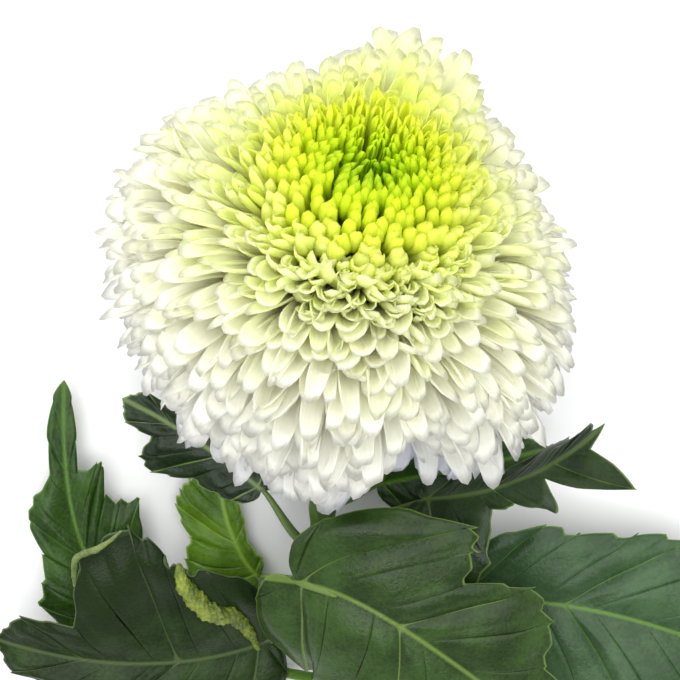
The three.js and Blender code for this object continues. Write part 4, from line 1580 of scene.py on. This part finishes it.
def leaves() -> list[Leaf]:
    """The eight leaves, from the front one to the one behind on the right."""
    return [
        Leaf("leaf_front", -88, ((-12.5, -87, 24),),
             ((-15, -85, 36), (3, -84, 45), (26, -104, 44), (60, -138, 22)),
             ((-0.1, -0.15, 1), (0.35, -0.35, 0.9)),
             Half((1.06, 0.86, 0.9), (0.66, 1.17, 1.1), 0, 20, 2, 0.4, (0.28, 0.28, 0.2)),
             Half((0.8, 1.0, 1.0), (1.38, 1.15, 1.1), -2, 20, 2.5, 2.4, (0.34, 0.32, 0.2)),
             LeafFinish("leaf_green_front", (0.032, 0.076, 0.011), (0.012, 0.032, 0.004),
                        (0.14, 0.224, 0.042))),
        Leaf("leaf_left_low", -108, ((-16, -109.5, 11.5),),
             ((-25, -112, 11), (-45, -117, 19), (-71, -116, 24), (-101, -108, 18)),
             ((0.1, -0.3, 1), (-0.1, -0.3, 1)),
             Half((0.9, 1.0, 1.0), (1, 1, 1), 8, 14, 2, 1.2),
             Half((1.1, 1.48, 1.0), (0.88, 1.62, 1.25), 4, -6, 2.5, 0.6, (0.4, 0.2, 0.2)),
             # Painted shade darkens this leaf's right half, its big upper lobe.
             LeafFinish("leaf_green_low", (0.026, 0.054, 0.012), (0.007, 0.018, 0.002),
                        (0.077, 0.112, 0.042), painted_shade_right=0.85, gloss=0.2)),
        Leaf("leaf_left_tall", -124, ((-22, -124, 3), (-42, -120, 2.2)),
             ((-60, -108, 4), (-78, -98, 6), (-83, -70, 8), (-80.5, -35.5, 7)),
             ((0.1, 0, 1), (0.1, 0.1, 1)),
             Half((0.75, 0.56, 0.42), (0.6, 0.9, 1), 4, 8, 2, 0.2, (0.34, 0.24, 0.2)),
             Half((1.25, 0.88, 0.4), (0.36, 0.44, 0.8), 6, 8, 2.5, 1.9, (0.34, 0.2, 0.2)),
             LeafFinish("leaf_green_tall", (0.034, 0.088, 0.010), (0.013, 0.038, 0.004),
                        (0.077, 0.182, 0.014)), teeth=12),
        Leaf("leaf_back_left", -84, ((-15, -78, 19),),
             ((-25, -63, 22), (-36, -54, 20), (-48, -46, 17), (-63, -38, 19)),
             ((0.1, -0.1, 1), (0.3, -0.1, 1)),
             Half((0.45, 1.05, 1.0), (0.9, 1.15, 1), -4, 20, 2, 0, (0.34, 0.22, 0.2)),
             Half((0.85, 0.85, 0.85), (1, 1, 1), 0, 10, 2, 1.1),
             LeafFinish("leaf_green_back", (0.010, 0.028, 0.006), (0.004, 0.012, 0.003),
                        (0.16, 0.24, 0.07))),
        Leaf("leaf_back_low", -97, ((-17, -95, 6),),
             ((-27, -94, 5), (-33, -88, 5), (-37, -76, 5), (-38, -60, 4.5)),
             ((0, 0, 1), (0, 0, 1)),
             Half((1.2, 1.2, 1.2), (1, 1, 1), 2, 5, 1, 0, (0.34, 0.34, 0.2)),
             Half((0.35, 0.4, 0.7), (0.8, 1, 1), 2, 5, 1, 1.1, (0.34, 0.34, 0.2)),
             # Painted light: this leaf's bright yellow-green stands for the light that shines through it
             # from behind.
             LeafFinish("leaf_green_painted_backlight", (0.110, 0.230, 0.014), (0.055, 0.130, 0.008), (0.24, 0.40, 0.05))),
        Leaf("leaf_right_narrow", -80, ((4, -74, 17),),
             ((20, -66, 22), (36, -64, 26), (52, -56, 38), (65, -36, 54)),
             ((-0.3, 0.8, 0.5), (-0.55, 0.55, 0.5)),
             Half((0.6, 0.7, 0.8), (0.9, 1, 1), -22, 6, 1, 0, (0.24, 0.24, 0.14)),
             Half((1.0, 0.25, 1.4), (1.1, 1, 1.85), -35, 10, 2, 2, (0.2, 0.05, 0.08)),
             LeafFinish("leaf_green_narrow", (0.028, 0.058, 0.016), (0.011, 0.026, 0.008),
                        (0.112, 0.182, 0.042))),
        Leaf("leaf_right_big", -114, ((8, -108, 9),),
             ((30, -100, 10), (60, -96, 14), (90, -104, 16), (122, -122, 9)),
             ((0, 0, 1), (0.1, -0.1, 1)),
             Half((0.75, 0.9, 0.85), (0.64, 1, 1), 6, 14, 2.5, 0.9, (0.42, 0.4, 0.2)),
             Half((0.9, 0.9, 0.9), (1, 1, 1), 4, 12, 2.5, 2.2, (0.4, 0.34, 0.2)),
             # Partly painted light: the greyish green of this blade is its own colour with a painted grey
             # sheen.
             LeafFinish("leaf_green_big", (0.056, 0.118, 0.046), (0.028, 0.066, 0.024),
                        (0.112, 0.238, 0.035))),
        Leaf("leaf_back_right", -70, ((0, -69, 10),),
             ((8, -66, 7), (22, -63, 7), (38, -60, 9), (56, -54, 12)),
             ((0, 0, 1), (-0.1, 0.1, 1)),
             Half((0.6, 0.6, 0.8), (0.8, 1, 1), 2, 6, 1.5, 0.3, (0.26, 0.26, 0.2)),
             Half((0.5, 0.6, 0.8), (0.8, 1, 1), 4, 8, 1.5, 1.7, (0.26, 0.26, 0.2)),
             LeafFinish("leaf_green_behind", (0.026, 0.070, 0.008), (0.010, 0.032, 0.004),
                        (0.084, 0.196, 0.014))),
    ]


@dataclass
class CurledMargin:
    """The bumpy lime margin that curls over along the foot of the low left leaf.

    Each of the `bumps` gives its waves along and round the roll, in radians, and its share of the radius.
    """

    name: str = "curled_margin"
    leaf: str = "leaf_left_low"
    radius: float = 2.9
    bumps: tuple[tuple[float, int, float], ...] = (
        (17, 1, 0.14), (47, -2, 0.08), (83, 5, 0.07), (131, -7, 0.06))
    route: tuple[Triple, ...] = (
        (-46.9, -81.0, 33.8), (-45.6, -88.0, 31.0), (-42.9, -93.5, 27.8), (-38.6, -97.4, 25.2),
        (-34.4, -99.8, 21.6), (-31.0, -103.4, 18.2), (-28.6, -107.5, 15.4), (-26.6, -113.8, 12.2))

    def build(self, finish: Material) -> Object:
        """Makes the margin, half sunk in the blade that carries it.

        Args:
            finish: its material.

        Returns:
            The piece.
        """

        def radius(share: np.ndarray, angle: np.ndarray) -> np.ndarray:
            """The bumpy radius, which dwindles towards both ends."""
            swell = 0.22 + 0.78 * np.sin(math.pi * np.clip(share, 0.001, 0.999) ** 0.8)
            rough = sum(size * np.sin(along * share + around * angle) for along, around, size in self.bumps)
            return self.radius * swell * (1 + rough)

        vertices, faces = tube(catmull_rom(np.array(self.route), 120), radius, 36)
        return hand_over(new_piece(self.name, vertices, faces, finish), self.leaf)


@dataclass
class RolledRim:
    """The pale margin that rolls over along one stretch of a leaf's edge."""

    name: str = "rolled_rim"
    side: int = -1
    stretch: Pair = (0.54, 0.7)
    radius: float = 0.95
    table_clearance: float = 0.1

    def build(self, leaf: Leaf, finish: Material) -> Object:
        """Makes the rolled stretch.

        Args:
            leaf: the leaf whose edge it follows.
            finish: its material.

        Returns:
            The piece.
        """

        def radius(share: np.ndarray, angle: np.ndarray) -> np.ndarray:
            """The uneven radius, which dwindles towards both ends."""
            swell = 0.15 + 0.85 * np.sqrt(np.sin(math.pi * np.clip(share, 0.001, 0.999)))
            return self.radius * swell * (1 + 0.08 * np.sin(31 * share + angle) + 0.06 * np.sin(53 * share))

        grid = leaf.half_blade(leaf.left if self.side > 0 else leaf.right, self.side)
        share, edge = grid["at"][:, -1], grid["middle"][:, -1]
        start, end = self.stretch
        # Every sixth place is enough, and passes over the teeth.
        places = edge[(share >= start) & (share <= end)][::6]
        vertices, faces = tube(catmull_rom(places, 70), radius, 16)
        vertices[:, 2] = np.maximum(vertices[:, 2], self.table_clearance)
        return hand_over(new_piece(self.name, vertices, faces, finish), leaf.name)


# ------------------------------------------------------------------ the studio


@dataclass(frozen=True)
class Softbox:
    """A square lamp: where it hangs, its side in metres and its power in watts. It faces the middle."""

    name: str
    place: Triple
    size: float
    power: float


@dataclass
class Studio:
    """The pale table, the soft light from above and the camera."""

    lens: float = 100.0
    sensor: float = 36.0
    distance: float = 477.0
    lean: float = 12.0
    # Where the middle of the head comes to lie in a picture this many units wide, from the top left corner.
    picture: float = 680.0
    head_at: Pair = (352.0, 285.0)
    head_point: Triple = (0.0, 0.0, 54.0)
    table_reach: float = 3.0
    lamps: tuple[Softbox, ...] = (
        Softbox("softbox_left", (-0.7, 1.2, 0.8), 1.0, 11.0),
        Softbox("softbox_right", (1.0, 0.8, 0.8), 0.9, 3.5),
        Softbox("softbox_front", (0.0, 0.2, 1.25), 2.0, 27.5),
        Softbox("key", (-0.2, -0.55, 1.2), 0.3, 1.4))
    # The surroundings from level with the table to straight overhead.
    sky: tuple[tuple[float, Colour], ...] = (
        (0.0, (1.0, 1.0, 1.0)), (0.35, (0.90, 0.90, 0.91)), (0.6, (0.46, 0.47, 0.48)),
        (0.8, (0.24, 0.25, 0.26)), (1.0, (0.12, 0.13, 0.14)))
    sky_strength: float = 0.8

    def camera(self) -> None:
        """Adds the camera, which looks down on the flower."""
        lean = math.radians(self.lean)
        right = np.array([1.0, 0.0, 0.0])
        up = np.array([0.0, math.cos(lean), -math.sin(lean)])
        back = np.array([0.0, math.sin(lean), math.cos(lean)])
        pixel = self.distance * self.sensor / self.lens / self.picture
        aside, down = (self.picture / 2 - place for place in self.head_at)
        aim = np.array(self.head_point) + right * (aside * pixel) - up * (down * pixel)
        data = bpy.data.cameras.new("camera")
        data.lens, data.sensor_width = self.lens, self.sensor
        data.clip_start, data.clip_end = 0.01, 20.0
        camera = add_object("camera", data)
        turned = Matrix(np.column_stack([right, up, back]).tolist()).to_4x4()
        camera.matrix_world = Matrix.Translation(Vector(to_part(aim + back * self.distance))) @ turned
        bpy.context.scene.camera = camera

    def table(self) -> None:
        """Adds the table top."""
        mesh = bpy.data.meshes.new("table")
        corners = np.array([(-1, -1, 0), (1, -1, 0), (1, 1, 0), (-1, 1, 0)]) * self.table_reach
        mesh.from_pydata(corners.tolist(), [], [(0, 1, 2, 3)])
        material, tree, surface = new_material("table_white")
        pale = mix(tree, noise(tree, 3.0), (0.93, 0.93, 0.93), (0.95, 0.95, 0.95))
        feed_all(tree, surface, {"Base Color": pale, "Roughness": 0.9, "Specular IOR Level": 0.1})
        mesh.materials.append(material)
        add_object("table", mesh)

    def lights(self) -> None:
        """Adds the lamps and the surroundings."""
        world = bpy.data.worlds.new("surroundings")
        bpy.context.scene.world = world
        world.use_nodes = True
        tree = world.node_tree
        sky = tree.nodes["Background"]
        heading = tree.nodes.new("ShaderNodeTexCoord").outputs["Generated"]
        _, _, height = Signal(tree, heading, vector=True).parts()
        feed_all(tree, sky, {"Color": ramp(tree, height, self.sky), "Strength": self.sky_strength})
        for lamp in self.lamps:
            data = bpy.data.lights.new(lamp.name, "AREA")
            data.size, data.energy = lamp.size, lamp.power
            light = add_object(lamp.name, data)
            light.location = lamp.place
            light.rotation_euler = (-Vector(lamp.place)).to_track_quat("-Z", "Y").to_euler()

    def build(self) -> None:
        """Sets up the studio."""
        scene = bpy.context.scene
        scene.view_settings.view_transform = "Standard"
        scene.cycles.max_bounces = 16
        scene.cycles.diffuse_bounces = 10
        self.camera()
        self.table()
        self.lights()
        LOG.info("studio: camera %.0f mm above the head", self.distance)


def main() -> None:
    """Builds the studio, the head, the cup, the stalk and the leaves in order."""
    logging.basicConfig(level=logging.INFO, format="%(name)s: %(message)s")
    Studio().build()
    tree = StrapTree().build()
    head = HeadFrame()
    Bloom(head).build(tree, PetalFinish().make(),
                      GreenFinish("receptacle_green", (0.30, 0.40, 0.08), (0.55, 0.62, 0.25)).make())
    calyx = Calyx(head)
    calyx.build(tree, GreenFinish("cup_green", (0.05, 0.10, 0.015), (0.11, 0.19, 0.035)).make(),
                GreenFinish("scale_green", (0.045, 0.10, 0.015), (0.14, 0.22, 0.05)).make())
    stalk = Stalk(head, calyx)
    stalk.build(GreenFinish("stalk_green", (0.04, 0.09, 0.010), (0.09, 0.17, 0.025)).make())
    skin = LeafSkin().build()
    grown = {leaf.name: leaf for leaf in leaves()}
    for leaf in grown.values():
        leaf.build(stalk, skin)
    rim = GreenFinish("rim_pale", (0.035, 0.075, 0.010), (0.20, 0.26, 0.06)).make()
    RolledRim().build(grown["leaf_left_low"], rim)
    CurledMargin().build(GreenFinish("margin_lime", (0.025, 0.055, 0.004), (0.24, 0.30, 0.03)).make())


if __name__ == "__main__":
    main()
